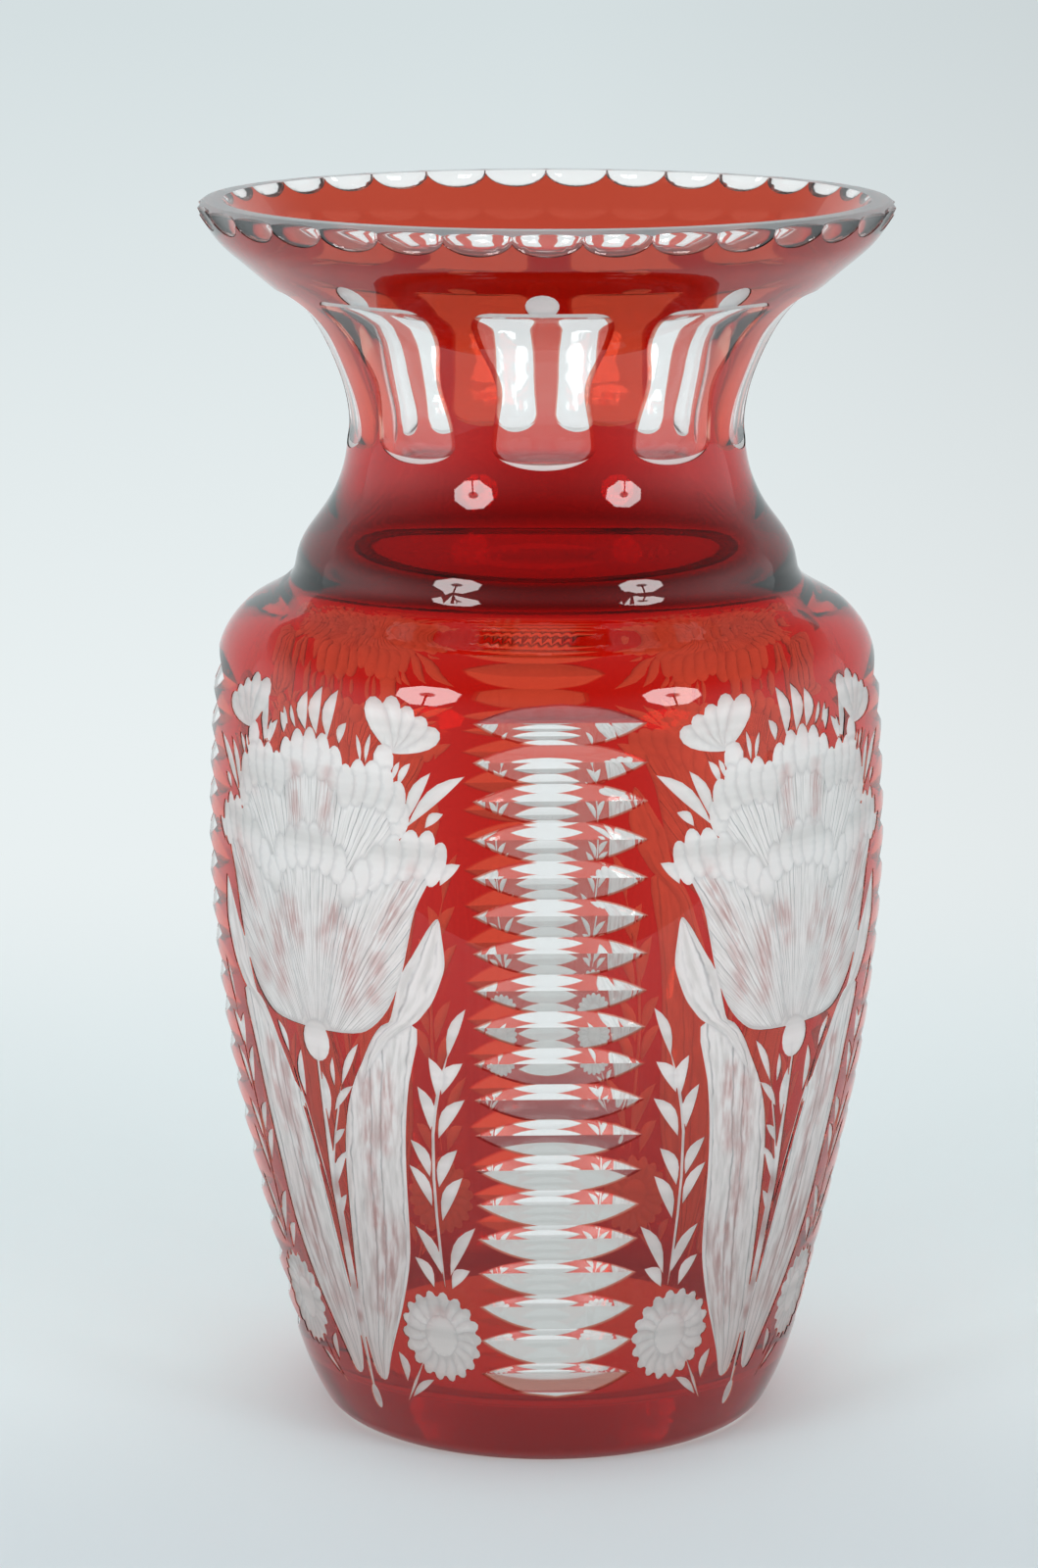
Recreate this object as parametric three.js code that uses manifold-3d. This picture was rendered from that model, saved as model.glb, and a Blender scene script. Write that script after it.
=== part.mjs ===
// Cased crystal vase: a thick clear body under a thin skin of ruby glass, cut and engraved through the
// ruby. Millimetres, +Z up, origin at the centre of the ground base. Angles turn about +Z from the -Y
// side, where the middle of one column of lens cuts stands.
import * as THREE from 'three';
import { mergeVertices } from 'three/addons/utils/BufferGeometryUtils.js';
import Module from 'manifold-3d';

const wasm = await Module();
wasm.setup();

// Whole vase
const height = 300;
const baseRadius = 52.6;
const heelHeight = 4;
const shoulderCrease = { radius: 61.2, z: 211 };
const casingThickness = 0.5;
const fusionGap = 0.3; // kept between the two layers, which are fused on the real vase
const casingFootHeight = 0.7; // the base is ground flat through the ruby, which stops just above it
const segments = 32;

// Rim
const rimInnerRadius = 77;
const rimOuterRadius = 82.2;
const rimBevelHeight = 1.6;
const rimEdgeRadius = 84.4;
const scallopCount = 33;
const scallopTurn = -2.3;
const scallop = { halfWidth: 8.2, halfHeight: 5.4, depth: 1.7 };

// Neck windows
const windowCount = 9;
const windowTurn = -3.2;
const windowTop = 279.3;
const windowBottom = 240.8;
const windowRunOut = 5.5; // how far above its bottom the facet reaches its full width
const windowWaist = { z: 259, halfAngle: 12.6, endHalfAngle: 15.6 };
const windowHalfWidth = 24;
const windowOval = { x: 0, z: 281.4, halfAngle: 3.8, halfHeight: 3.2, sides: 6 };

// Columns of lens cuts
const columnCount = 4;
const lensCount = 19;
const lensTop = 186.8;
const lensBottom = 25;
const lensDepth = 2.55;
const lensRidgeDepth = 0.8;
const lensHalfHeight = 6.2;
const lensHalfLength = 26;

// Inside
const floorHeight = 15;

// Outer profile as control points [radius, z]: the body from the heel up, the shoulder that turns in
// to a crease, and the neck with its flared mouth
const bodyControl = [
  [56.1, heelHeight], [61.2, 15.5], [65.1, 30], [68.7, 45], [75.4, 75], [80.0, 103], [82.9, 135],
  [82.9, 155], [80.2, 190],
];
const shoulderControl = [
  [80.2, 190], [77.2, 197.6], [70.9, 203.2], [64.2, 207.4], [shoulderCrease.radius, shoulderCrease.z],
];
const neckControl = [
  [shoulderCrease.radius, shoulderCrease.z], [60.2, 215.5], [54.2, 225.5], [49.3, 235.5], [48.1, 245],
  [51.2, 260], [57.4, 271], [67.6, 280.5], [78.2, 290], [rimEdgeRadius, height - rimBevelHeight],
];
// Inner wall, from the inner edge of the rim down: the mouth and neck, the shoulder, and the body
const innerMouthControl = [
  [rimInnerRadius, height - 0.8], [70.4, 290.6], [59.4, 280.4], [49.6, 270.8], [44.6, 260], [42.1, 247],
];
const innerShoulderControl = [
  [42.1, 247], [43.6, 234], [48.9, 222], [55.6, 210], [66.6, 198.6], [73.4, 188.6], [75.4, 178],
];
const innerBodyControl = [
  [75.4, 178], [76.4, 145], [73.6, 105], [67.4, 65], [58.6, 32], [53.2, floorHeight + 3],
];

// A smooth curve through control points, as evenly spaced points.
function spline(control, steps) {
  return new THREE.SplineCurve(control.map(([x, y]) => new THREE.Vector2(x, y))).getSpacedPoints(steps);
}

// The points of such a curve at given heights, between its two ends.
function splineAt(control, heights) {
  const curve = spline(control, 400);
  const between = heights.map((z) => {
    const above = curve.findIndex((p) => p.y >= z);
    const [a, b] = [curve[above - 1], curve[above]];
    return new THREE.Vector2(THREE.MathUtils.lerp(a.x, b.x, (z - a.y) / (b.y - a.y)), z);
  });
  return [curve[0], ...between, curve.at(-1)];
}

// Outer surface from heel to rim, as the points that the revolved walls share, closest where it bends
const bodyRings = [17, 42, 78, 116, 155];
const shoulderRings = [197.4, 203, 207.4];
const neckRings = [217, 226, 237, windowBottom + windowRunOut, 260, 274, 286.5];
const outerProfile = [
  ...splineAt(bodyControl, bodyRings),
  ...splineAt(shoulderControl, shoulderRings).slice(1),
  ...splineAt(neckControl, neckRings).slice(1),
];

// Radius of the finished outer surface at a height.
function outerRadius(z) {
  const above = outerProfile.findIndex((p) => p.y >= z);
  if (above < 1) {
    return outerProfile[0].x;
  }
  const [a, b] = [outerProfile[above - 1], outerProfile[above]];
  return THREE.MathUtils.lerp(a.x, b.x, (z - a.y) / (b.y - a.y));
}

// Shifts a profile that runs upwards towards the axis, square to itself.
function inset(profile, distance) {
  return profile.map((point, i) => {
    const before = profile[Math.max(i - 1, 0)];
    const after = profile[Math.min(i + 1, profile.length - 1)];
    const along = after.clone().sub(before).normalize();
    return new THREE.Vector2(point.x - along.y * distance, point.y + along.x * distance);
  });
}

// A closed geometry as a solid, without the slivers that a lathe leaves on its axis.
function toSolid(geometry) {
  const bare = geometry.clone();
  bare.deleteAttribute('normal');
  bare.deleteAttribute('uv');
  const merged = mergeVertices(bare, 1e-4);
  const corners = merged.index.array;
  const faces = [];
  for (let i = 0; i < corners.length; i += 3) {
    const [a, b, c] = [corners[i], corners[i + 1], corners[i + 2]];
    if (a !== b && b !== c && c !== a) {
      faces.push(a, b, c);
    }
  }
  const vertProperties = new Float32Array(merged.attributes.position.array);
  const triVerts = new Uint32Array(faces);
  return new wasm.Manifold(new wasm.Mesh({ numProp: 3, vertProperties, triVerts }));
}

// A solid as a named mesh with its own finish.
function toMesh(solid, name, finish) {
  const { vertProperties, triVerts } = solid.getMesh();
  const geometry = new THREE.BufferGeometry();
  geometry.setAttribute('position', new THREE.BufferAttribute(vertProperties, 3));
  geometry.setIndex(new THREE.BufferAttribute(triVerts, 1));
  geometry.computeVertexNormals();
  const mesh = new THREE.Mesh(geometry, new THREE.MeshStandardMaterial(finish));
  mesh.name = name;
  return mesh;
}

// A profile of [radius, z] points revolved about the vase's axis, with a facet in the middle of each
// column of lens cuts.
function revolve(profile) {
  const halfFacet = Math.PI / segments;
  return toSolid(new THREE.LatheGeometry(profile, segments, halfFacet).rotateX(Math.PI / 2));
}

// A straight cut across the wall: an outline in radius and z, swept along the tangent at an angle.
const facingFront = new THREE.Matrix4().makeBasis(
  new THREE.Vector3(0, -1, 0),
  new THREE.Vector3(0, 0, 1),
  new THREE.Vector3(-1, 0, 0),
);
function tangentCut(outline, halfLength, degrees) {
  const geometry = new THREE.ExtrudeGeometry(new THREE.Shape(outline), {
    depth: 2 * halfLength,
    bevelEnabled: false,
  });
  geometry.translate(0, 0, -halfLength).applyMatrix4(facingFront);
  return toSolid(geometry.rotateZ(THREE.MathUtils.degToRad(degrees)));
}

// An engraved outline: points in degrees across and millimetres up, cut square through the ruby.
const engravingReach = { inwards: 4, outwards: 14 };
function engravedCut(outline, middle) {
  const points = THREE.ShapeUtils.isClockWise(outline) ? [...outline].reverse() : outline;
  const count = points.length;
  const layer = (shift) =>
    points.flatMap(({ x, y }) => {
      const angle = THREE.MathUtils.degToRad(middle + x);
      const radius = outerRadius(y) + shift;
      return [radius * Math.sin(angle), -radius * Math.cos(angle), y];
    });
  const faces = [];
  for (const [a, b, c] of THREE.ShapeUtils.triangulateShape(points, [])) {
    faces.push(a, c, b, a + count, b + count, c + count);
  }
  for (let i = 0; i < count; i += 1) {
    const next = (i + 1) % count;
    faces.push(i, next, next + count, i, next + count, i + count);
  }
  const geometry = new THREE.BufferGeometry();
  const positions = [...layer(-engravingReach.inwards), ...layer(engravingReach.outwards)];
  geometry.setAttribute('position', new THREE.Float32BufferAttribute(positions, 3));
  geometry.setIndex(faces);
  return toSolid(geometry);
}

function addAll(solids) {
  return solids.reduce((sum, solid) => sum.add(solid));
}

// Lens cuts: one column is a zigzag of mitre grooves, whose ridges meet under the ruby in the middle
// and whose ends run out to points on the curved wall. Low down the grooves lean towards the foot.
const lensPitch = (lensTop - lensBottom) / (lensCount - 1);
const lensLean = { below: 70, most: 0.18 };
const lensOverrun = 6; // how far the column's ends and its open side reach beyond the wall
function lensColumnOutline() {
  const depthAt = (z, depth) => new THREE.Vector2(outerRadius(z) - depth, z);
  const outline = [];
  for (let i = 0; i < lensCount; i += 1) {
    const z = lensTop - i * lensPitch;
    outline.push(depthAt(z, lensDepth));
    if (i < lensCount - 1) {
      const lean = lensLean.most * Math.max(0, 1 - (z - lensPitch) / lensLean.below);
      outline.push(depthAt(z - (0.5 + lean) * lensPitch, lensRidgeDepth));
    }
  }
  const above = depthAt(lensTop + lensHalfHeight, 0);
  const below = depthAt(lensBottom - lensHalfHeight, 0);
  const extend = (edge, groove) => edge.clone().lerp(groove, -lensOverrun / lensHalfHeight);
  outline.unshift(extend(above, outline[0]));
  outline.push(extend(below, outline[outline.length - 1]));
  const outside = Math.max(...bodyControl.map(([r]) => r)) + 2 * lensOverrun;
  outline.push(new THREE.Vector2(outside, outline[outline.length - 1].y));
  outline.push(new THREE.Vector2(outside, outline[0].y));
  return outline;
}

// Neck windows: flat facets ground along the neck. The facet lies deeper towards its ends than at the
// waist of the neck, so that the window is waisted too.
function windowOutline() {
  const facetRadius = (z) => {
    const fromWaist = (z - windowWaist.z) / (windowTop - windowWaist.z);
    const halfAngle = THREE.MathUtils.lerp(windowWaist.halfAngle, windowWaist.endHalfAngle, fromWaist ** 2);
    return outerRadius(z) * Math.cos(THREE.MathUtils.degToRad(halfAngle));
  };
  const lowest = windowBottom + windowRunOut;
  const between = outerProfile.map((p) => p.y).filter((z) => z > lowest && z < windowTop);
  const facet = [lowest, ...between, windowTop].map((z) => new THREE.Vector2(facetRadius(z), z));
  return [
    new THREE.Vector2(outerRadius(windowBottom), windowBottom),
    ...facet,
    new THREE.Vector2(rimEdgeRadius, windowTop),
    new THREE.Vector2(rimEdgeRadius, windowBottom),
  ];
}

function ovalOutline({ x, z, halfAngle, halfHeight, sides, turn = 0 }) {
  return Array.from({ length: sides }, (_, i) => {
    const a = (2 * Math.PI * i) / sides + turn;
    return new THREE.Vector2(x + halfAngle * Math.sin(a), z + halfHeight * Math.cos(a));
  });
}

// Rim scallops: hollows ground side by side into the outer edge, so the ruby ends in cusps.
function scallopCut(degrees) {
  const hollow = new THREE.SphereGeometry(1, 8, 2);
  hollow.scale(scallop.halfWidth, scallop.depth, scallop.halfHeight);
  const [low, high] = [outerProfile.at(-2), outerProfile.at(-1)];
  const lean = Math.atan2(high.x - low.x, high.y - low.y);
  hollow.rotateX(lean).translate(0, -high.x, high.y);
  return toSolid(hollow.rotateZ(THREE.MathUtils.degToRad(degrees)));
}

// Flower panel, drawn in degrees from its middle and millimetres up. One half is given and mirrored.
const points = (list) => list.map(([x, z]) => new THREE.Vector2(x, z));
const mirrored = (outline) => outline.map(({ x, y }) => new THREE.Vector2(-x, y)).reverse();

// The bloom: a rounded cup, and three steps of petals up to the middle one.
function bloomOutline() {
  const cup = spline([[0, 109.6], [8.5, 110.2], [14.5, 114.5], [18.6, 126], [21.6, 144], [26, 156]], 4);
  const petals = points([[22.4, 161.6], [18.4, 163.4], [17.2, 173], [12, 175.8], [7, 174.4], [4.6, 179.6]]);
  const half = [...cup, ...petals];
  return [...half, ...mirrored(half).slice(0, -1)];
}

// The long leaf, which folds over at the top into a tip that hangs beside the column.
const leaf = points([
  [4.6, 19], [12.6, 40], [18.2, 80], [21.6, 111], [26.4, 130], [25.2, 140.4], [16.2, 112.5], [6, 86],
  [2.6, 34],
]);

// The daisy in the lower corner of a panel
const daisy = { x: 20.4, z: 34, halfAngle: 9.1, halfHeight: 11.9, sides: 8, turn: Math.PI / 8 };

// The stem, which swells into an oval calyx under the bloom.
const stem = points([
  [1.2, 12], [1.2, 100.6], [3.3, 103.6], [2.6, 108.4], [-2.6, 108.4], [-3.3, 103.6], [-1.2, 100.6],
  [-1.2, 12],
]);

function panelOutlines() {
  const half = [leaf, ovalOutline(daisy)];
  return [bloomOutline(), stem, ...half, ...half.map(mirrored)];
}

// Cuts that go through the ruby into the clear glass, and engraving that only bares it
const turns = (count, first = 0) => Array.from({ length: count }, (_, i) => first + (360 * i) / count);
const column = lensColumnOutline();
const window = windowOutline();
const deepCuts = addAll([
  ...turns(columnCount).map((angle) => tangentCut(column, lensHalfLength, angle)),
  ...turns(windowCount, windowTurn).map((angle) => tangentCut(window, windowHalfWidth, angle)),
  ...turns(scallopCount, scallopTurn).map((angle) => scallopCut(angle)),
]);
const panel = panelOutlines();
const panelMiddles = turns(columnCount, 180 / columnCount);
const engraving = addAll([
  ...panelMiddles.flatMap((middle) => panel.map((outline) => engravedCut(outline, middle))),
  ...turns(windowCount, windowTurn).map((angle) => engravedCut(ovalOutline(windowOval), angle)),
]);

// Clear body: base, heel, outer wall under the ruby, ground rim, inner wall and floor in one profile
const crystalWall = inset(outerProfile, casingThickness + fusionGap);
const crystalProfile = [
  new THREE.Vector2(0, 0),
  new THREE.Vector2(baseRadius - casingThickness - fusionGap, 0),
  ...crystalWall,
  new THREE.Vector2(rimOuterRadius, height),
  new THREE.Vector2(rimInnerRadius + 0.8, height),
  ...spline(innerMouthControl, 5),
  ...spline(innerShoulderControl, 5).slice(1),
  ...spline(innerBodyControl, 4).slice(1),
  new THREE.Vector2(48, floorHeight),
  new THREE.Vector2(0, floorHeight),
];
const crystalBody = revolve(crystalProfile).subtract(deepCuts);

// Ruby casing: a thin wall between two revolved profiles, closed on itself at the foot and the rim
const casingFoot = new THREE.Vector2(baseRadius + 0.6, casingFootHeight);
const casingOuter = [casingFoot, ...outerProfile];
const casingInner = inset(casingOuter, casingThickness);
casingInner[0].y = casingFootHeight;
casingInner.at(-1).y = casingOuter.at(-1).y;
const casingProfile = [...casingOuter, ...casingInner.reverse(), casingFoot];
const rubyCasing = revolve(casingProfile).subtract(deepCuts).subtract(engraving);

const vase = new THREE.Group();
vase.add(toMesh(crystalBody, 'crystal_body', { color: 0xe6eef0, roughness: 0.05, metalness: 0 }));
vase.add(toMesh(rubyCasing, 'ruby_casing', { color: 0xa51c14, roughness: 0.06, metalness: 0 }));

export default vase;
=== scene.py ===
import math

import bpy
import numpy as np
from mathutils.geometry import delaunay_2d_cdt
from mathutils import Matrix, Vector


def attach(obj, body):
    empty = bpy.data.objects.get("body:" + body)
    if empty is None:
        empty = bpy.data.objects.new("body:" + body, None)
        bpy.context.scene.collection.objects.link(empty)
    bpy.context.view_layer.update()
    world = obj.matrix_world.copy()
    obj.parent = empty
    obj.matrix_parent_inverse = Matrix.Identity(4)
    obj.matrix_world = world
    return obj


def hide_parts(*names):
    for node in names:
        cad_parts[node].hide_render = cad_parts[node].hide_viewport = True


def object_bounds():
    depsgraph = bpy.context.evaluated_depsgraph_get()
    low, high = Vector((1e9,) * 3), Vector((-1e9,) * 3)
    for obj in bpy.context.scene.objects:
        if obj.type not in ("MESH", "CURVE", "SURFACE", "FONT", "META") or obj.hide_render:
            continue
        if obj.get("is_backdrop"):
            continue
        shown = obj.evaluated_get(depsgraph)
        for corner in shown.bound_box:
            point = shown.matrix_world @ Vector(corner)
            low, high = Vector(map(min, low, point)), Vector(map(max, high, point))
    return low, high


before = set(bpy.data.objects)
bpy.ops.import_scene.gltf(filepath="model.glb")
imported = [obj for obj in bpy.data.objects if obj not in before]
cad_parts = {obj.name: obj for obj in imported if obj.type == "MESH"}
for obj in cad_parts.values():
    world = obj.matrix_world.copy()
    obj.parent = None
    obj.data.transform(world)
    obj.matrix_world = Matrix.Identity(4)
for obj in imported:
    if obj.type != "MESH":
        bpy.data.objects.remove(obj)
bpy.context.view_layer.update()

# Camera: 1.2 m from the vase and a little above its rim, nearly square to the middle of one column of
# cuts. Lengths are in metres, and angles in degrees about +Z from the -Y side, which is the front.
MM = 0.001
camera_distance, camera_height = 1200 * MM, 409 * MM
camera_turn, camera_pan, camera_tilt = -2.4, -2.084, -11.9
camera_lens, camera_sensor = 114.46, 36


def add_object(name, data):
    """A new object of the scene that shows the data."""
    made = bpy.data.objects.new(name, data)
    bpy.context.scene.collection.objects.link(made)
    return made


def from_front(turn, level, height):
    """The point at an angle from the front, a level distance from the vase's axis and a height."""
    turn = math.radians(turn)
    return level * math.sin(turn), -level * math.cos(turn), height


view = bpy.data.cameras.new("camera")
view.lens, view.sensor_width = camera_lens, camera_sensor
camera = add_object("camera", view)
camera.location = from_front(camera_turn, camera_distance, camera_height)
camera.rotation_euler = (math.radians(90 + camera_tilt), 0, math.radians(camera_pan))
bpy.context.scene.camera = camera
bpy.context.scene.view_settings.view_transform = "Standard"


# Background paper: a wide roll of matte white paper that lies under the vase and bends up behind it.
# It is uncoated, so it is even and without gloss. Painted shade makes it a little darker in front and higher
# up, and to the right.
def linear(code):
    """An sRGB hex colour as linear red, green, blue and alpha: a power of 2.4 above the short toe."""
    srgb = [int(code[i:i + 2], 16) / 255 for i in (1, 3, 5)]
    return tuple(c / 12.92 if c <= 0.04045 else ((c + 0.055) / 1.055) ** 2.4 for c in srgb) + (1,)


sweep = {"front": 0.45, "back": 0.75, "bend": 0.45, "top": 0.95, "half_width": 1.8}
paper_at_vase, paper_shaded_in_front = linear("#F4FBFC"), linear("#DCE2E5")
paper_front_band = 0.06, -0.14  # from where to where along Y it turns to the darker tone of painted shade
# painted shade on the plain backdrop: darker higher up and to the right
backdrop_low, backdrop_shaded_high, backdrop_shade_right = linear("#E9F0F1"), linear("#D5DFE1"), linear("#F2F0F0")
backdrop_band = 0.12, 0.62  # along Y, where the plain backdrop takes over from the lit paper
backdrop_rise, backdrop_aside = (0.0, 0.28), (0.05, 0.4)  # along Z and along X, where the backdrop's painted shade sets in
# through the glass, the paper near the vase shows a grey painted shadow, and further back plain white
glass_shows_painted_shadow, glass_shows_far = linear("#BFC2C0"), linear("#F8FCFC")


def new_material(name):
    """An empty node material, to be filled."""
    material = bpy.data.materials.new(name)
    material.use_nodes = True
    material.node_tree.nodes.clear()
    return material


def node(owner, kind, sockets=(), **settings):
    """Adds one node and applies its settings. Sockets are filled by name from a dictionary or in order
    from a list, each with a value, an output, or a node, which stands for its first output. In order, a
    Map Range takes its value, where that starts and ends, and what these two become."""
    made = owner.node_tree.nodes.new("ShaderNode" + kind)
    for name, value in settings.items():
        setattr(made, name, value)
    for name, value in sockets.items() if isinstance(sockets, dict) else enumerate(sockets):
        if isinstance(value, bpy.types.Node):
            value = value.outputs[0]
        if isinstance(value, bpy.types.NodeSocket):
            owner.node_tree.links.new(value, made.inputs[name])
        else:
            made.inputs[name].default_value = value
    return made


def sheet_mesh(name, points, faces):
    """A mesh object at the origin from an array of points in metres and an array of triangles or quads."""
    mesh = bpy.data.meshes.new(name)
    mesh.from_pydata(points.tolist(), [], faces.tolist())
    return add_object(name, mesh)


def sweep_surface():
    """The paper: a flat stretch, a quarter turn of the bend's radius and a rise, carried sideways."""
    turn = np.linspace(0, math.pi / 2, 25)
    y = np.concatenate([[-sweep["front"]], sweep["back"] + sweep["bend"] * np.sin(turn)])
    z = np.concatenate([[0], sweep["bend"] * (1 - np.cos(turn))])
    y, z = np.append(y, y[-1]), np.append(z, sweep["top"])
    x = np.tile([-sweep["half_width"], sweep["half_width"]], len(y))
    i = 2 * np.arange(len(y) - 1)
    return np.stack([x, np.repeat(y, 2), np.repeat(z, 2)], 1), np.stack([i, i + 1, i + 3, i + 2], 1)


paper = sheet_mesh("paper_sweep", *sweep_surface())
paper.data.polygons.foreach_set("use_smooth", np.ones(len(paper.data.polygons), bool))

# uncoated paper: lit like any surface where it lies near the vase, so that it keeps the shadow. Past
# the vase it shows at its own tone, which has painted shade, and through the glass it shows a grey
# painted shadow near the vase and white further back. A camera behind it looks through it
matte_paper = new_material("uncoated_background_paper")
axes = node(matte_paper, "SeparateXYZ", [node(matte_paper, "TexCoord").outputs["Object"]])
behind = node(matte_paper, "MapRange", [axes.outputs["Y"], *backdrop_band], interpolation_type="SMOOTHSTEP")
high = node(matte_paper, "MapRange", [axes.outputs["Z"], *backdrop_rise])
aside = node(matte_paper, "MapRange", [axes.outputs["X"], *backdrop_aside])
# painted shade: the lit paper turns darker towards the front
front = node(matte_paper, "MapRange", [axes.outputs["Y"], *paper_front_band], interpolation_type="SMOOTHSTEP")
lit_tone = node(matte_paper, "MixRGB", [front, paper_at_vase, paper_shaded_in_front])
lit = node(matte_paper, "BsdfDiffuse", {"Color": lit_tone})
# painted shade: the plain backdrop darkens upwards and to the right
plain_tone = node(matte_paper, "MixRGB", [high, backdrop_low, backdrop_shaded_high])
plain_tone = node(matte_paper, "MixRGB", [aside, plain_tone, backdrop_shade_right], blend_type="MULTIPLY")
# painted shadow: through the glass the paper near the vase is grey
glass_tone = node(matte_paper, "MixRGB", [behind, glass_shows_painted_shadow, glass_shows_far])
ray = node(matte_paper, "LightPath")
plain_tone = node(matte_paper, "MixRGB", [ray.outputs["Is Transmission Ray"], plain_tone, glass_tone])
plain = node(matte_paper, "Emission", {"Color": plain_tone, "Strength": 1.0})
seen = node(matte_paper, "Math", [ray.outputs["Is Camera Ray"], ray.outputs["Is Glossy Ray"]],
            operation="MAXIMUM")
share = node(matte_paper, "Math", [seen, behind], operation="MULTIPLY")
share = node(matte_paper, "Math", [share, ray.outputs["Is Transmission Ray"]], operation="MAXIMUM")
surface = node(matte_paper, "MixShader", [share, lit, plain])
reverse = node(matte_paper, "NewGeometry").outputs["Backfacing"]
unseen = node(matte_paper, "Math", [reverse, ray.outputs["Is Camera Ray"]], operation="MULTIPLY")
surface = node(matte_paper, "MixShader", [unseen, surface, node(matte_paper, "BsdfTransparent")])
node(matte_paper, "OutputMaterial", {"Surface": surface})
paper.data.materials.append(matte_paper)
paper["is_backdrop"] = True

# Room: a pale studio that lights the vase evenly from all round. What the glass mirrors and bends of
# it is brighter behind the vase than in front of it, and dims towards the ceiling.
room_colour, room_strength = linear("#E6EDEF"), 0.8
room_upward = 0.1, 0.6, 1.0, 0.2  # from where to where the brightness changes, and from what to what
room_backward = -1.0, -0.1, 0.3, 1.2

world = bpy.data.worlds.new("pale_room")
bpy.context.scene.world = world
world.use_nodes = True
world.node_tree.nodes.clear()
axes = node(world, "SeparateXYZ", [node(world, "TexCoord").outputs["Generated"]])
upward = node(world, "MapRange", [axes.outputs["Z"], *room_upward], interpolation_type="SMOOTHSTEP")
backward = node(world, "MapRange", [axes.outputs["Y"], *room_backward])
shown = node(world, "Math", [upward, backward], operation="MULTIPLY")
ray = node(world, "LightPath")
in_glass = node(world, "Math", [ray.outputs["Is Glossy Ray"], ray.outputs["Is Transmission Ray"]],
                operation="MAXIMUM")
strength = node(world, "Mix", {"Factor": in_glass, "A": room_strength, "B": shown})
node(world, "OutputWorld", {"Surface": node(world, "Background", [room_colour, strength])})

# Softboxes: an eight-sided lamp on each side of the camera, a white cloth front over a round hub on a
# stem. The glass mirrors both, once at the neck, once at the crease and once at the shoulder.
softboxes = {"softbox_left": (-43.9, 22.0, 1.05), "softbox_right": (42.0, 21.0, 1.15)}  # turn, lift, distance
softbox_aim = 210 * MM  # height on the vase's axis that these are measured from
softbox_size = 0.40
softbox_radiance = 9.0
cloth_edge = 0.47, 0.5  # from here to here, in widths from the middle, the cloth fades out
hub_edge, hub_brightness = (0.1, 0.14), 0.12
stem_half = 0.02  # half its width, also in widths of the lamp


def octagon_front(lamp):
    """The lamp's lit front: white where the larger of across, up and their sum over root 2 is under half
    its width, and dark over the round hub in the middle and the stem that comes up to it."""
    lamp.use_nodes = True
    lamp.node_tree.nodes.clear()
    axes = node(lamp, "SeparateXYZ", [node(lamp, "NewGeometry").outputs["Parametric"]])
    across, up = (node(lamp, "Math", [axes.outputs[axis], 0.5], operation="SUBTRACT") for axis in "XY")
    side, rise = (node(lamp, "Math", [offset], operation="ABSOLUTE") for offset in (across, up))
    corner = node(lamp, "Math", [side, rise], operation="ADD")
    corner = node(lamp, "Math", [corner, 0.7071], operation="MULTIPLY")
    reach = node(lamp, "Math", [side, rise], operation="MAXIMUM")
    reach = node(lamp, "Math", [reach, corner], operation="MAXIMUM")
    cloth = node(lamp, "MapRange", [reach, *cloth_edge, 1.0, 0.0])
    radius = node(lamp, "VectorMath", [node(lamp, "CombineXYZ", [across, up])], operation="LENGTH")
    hub = node(lamp, "MapRange", [radius.outputs["Value"], *hub_edge, hub_brightness, 1.0])
    below = node(lamp, "Math", [up, 0.0], operation="LESS_THAN")
    stem = node(lamp, "Math", [side, stem_half], operation="LESS_THAN")
    stem = node(lamp, "Math", [stem, below], operation="MULTIPLY")
    stem = node(lamp, "Math", [1.0, stem], operation="SUBTRACT")
    glow = node(lamp, "Math", [cloth, hub], operation="MULTIPLY")
    glow = node(lamp, "Math", [glow, stem], operation="MULTIPLY")
    node(lamp, "OutputLight", {"Surface": node(lamp, "Emission", {"Strength": glow})})


for name, (turn, lift, distance) in softboxes.items():
    lamp = bpy.data.lights.new(name, "AREA")
    lamp.shape, lamp.size = "SQUARE", softbox_size
    lamp.energy = softbox_radiance * math.pi * softbox_size**2
    octagon_front(lamp)
    lift = math.radians(lift)
    holder = add_object(name, lamp)
    holder.location = from_front(turn, distance * math.cos(lift), softbox_aim + distance * math.sin(lift))
    holder.rotation_euler = (math.pi / 2 - lift, 0, math.radians(turn))

# Outline of the vase: both layers follow it. Blown into a mould, so the foot, body, shoulder and neck
# are one smooth wall, with a crease where the shoulder turns up into the neck. Radius and height in mm.
crease_height = 211.0
rim_height = 298.4
top_height = 300.0
body_outline = [
    (52.6, 0), (54.9, 2), (56.2, 4), (58.2, 8), (61.0, 15), (62.6, 20), (65.2, 30), (68.7, 45),
    (72.1, 60), (75.3, 75), (78.1, 90), (80.1, 105), (81.8, 121), (82.8, 137), (82.9, 152), (82.2, 170),
    (80.4, 189), (78.5, 195), (74.9, 200), (70.9, 203.2), (65.6, 206), (62.3, 208.8), (61.2, crease_height),
]
neck_outline = [
    (61.2, crease_height), (60.1, 216), (57.6, 220.5), (54.2, 225), (51.3, 230), (49.4, 235), (48.4, 240),
    (48.1, 245), (48.5, 250), (49.5, 255), (51.2, 260), (53.6, 265), (57.0, 270.3), (61.6, 275.4),
    (67.6, 280.5), (73.3, 285.3), (78.6, 290), (82.0, 294.6), (84.4, rim_height),
]
ruby_thickness = 0.25
fused_depth = 0.30  # under the wall, where the clear glass begins just behind the ruby


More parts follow.
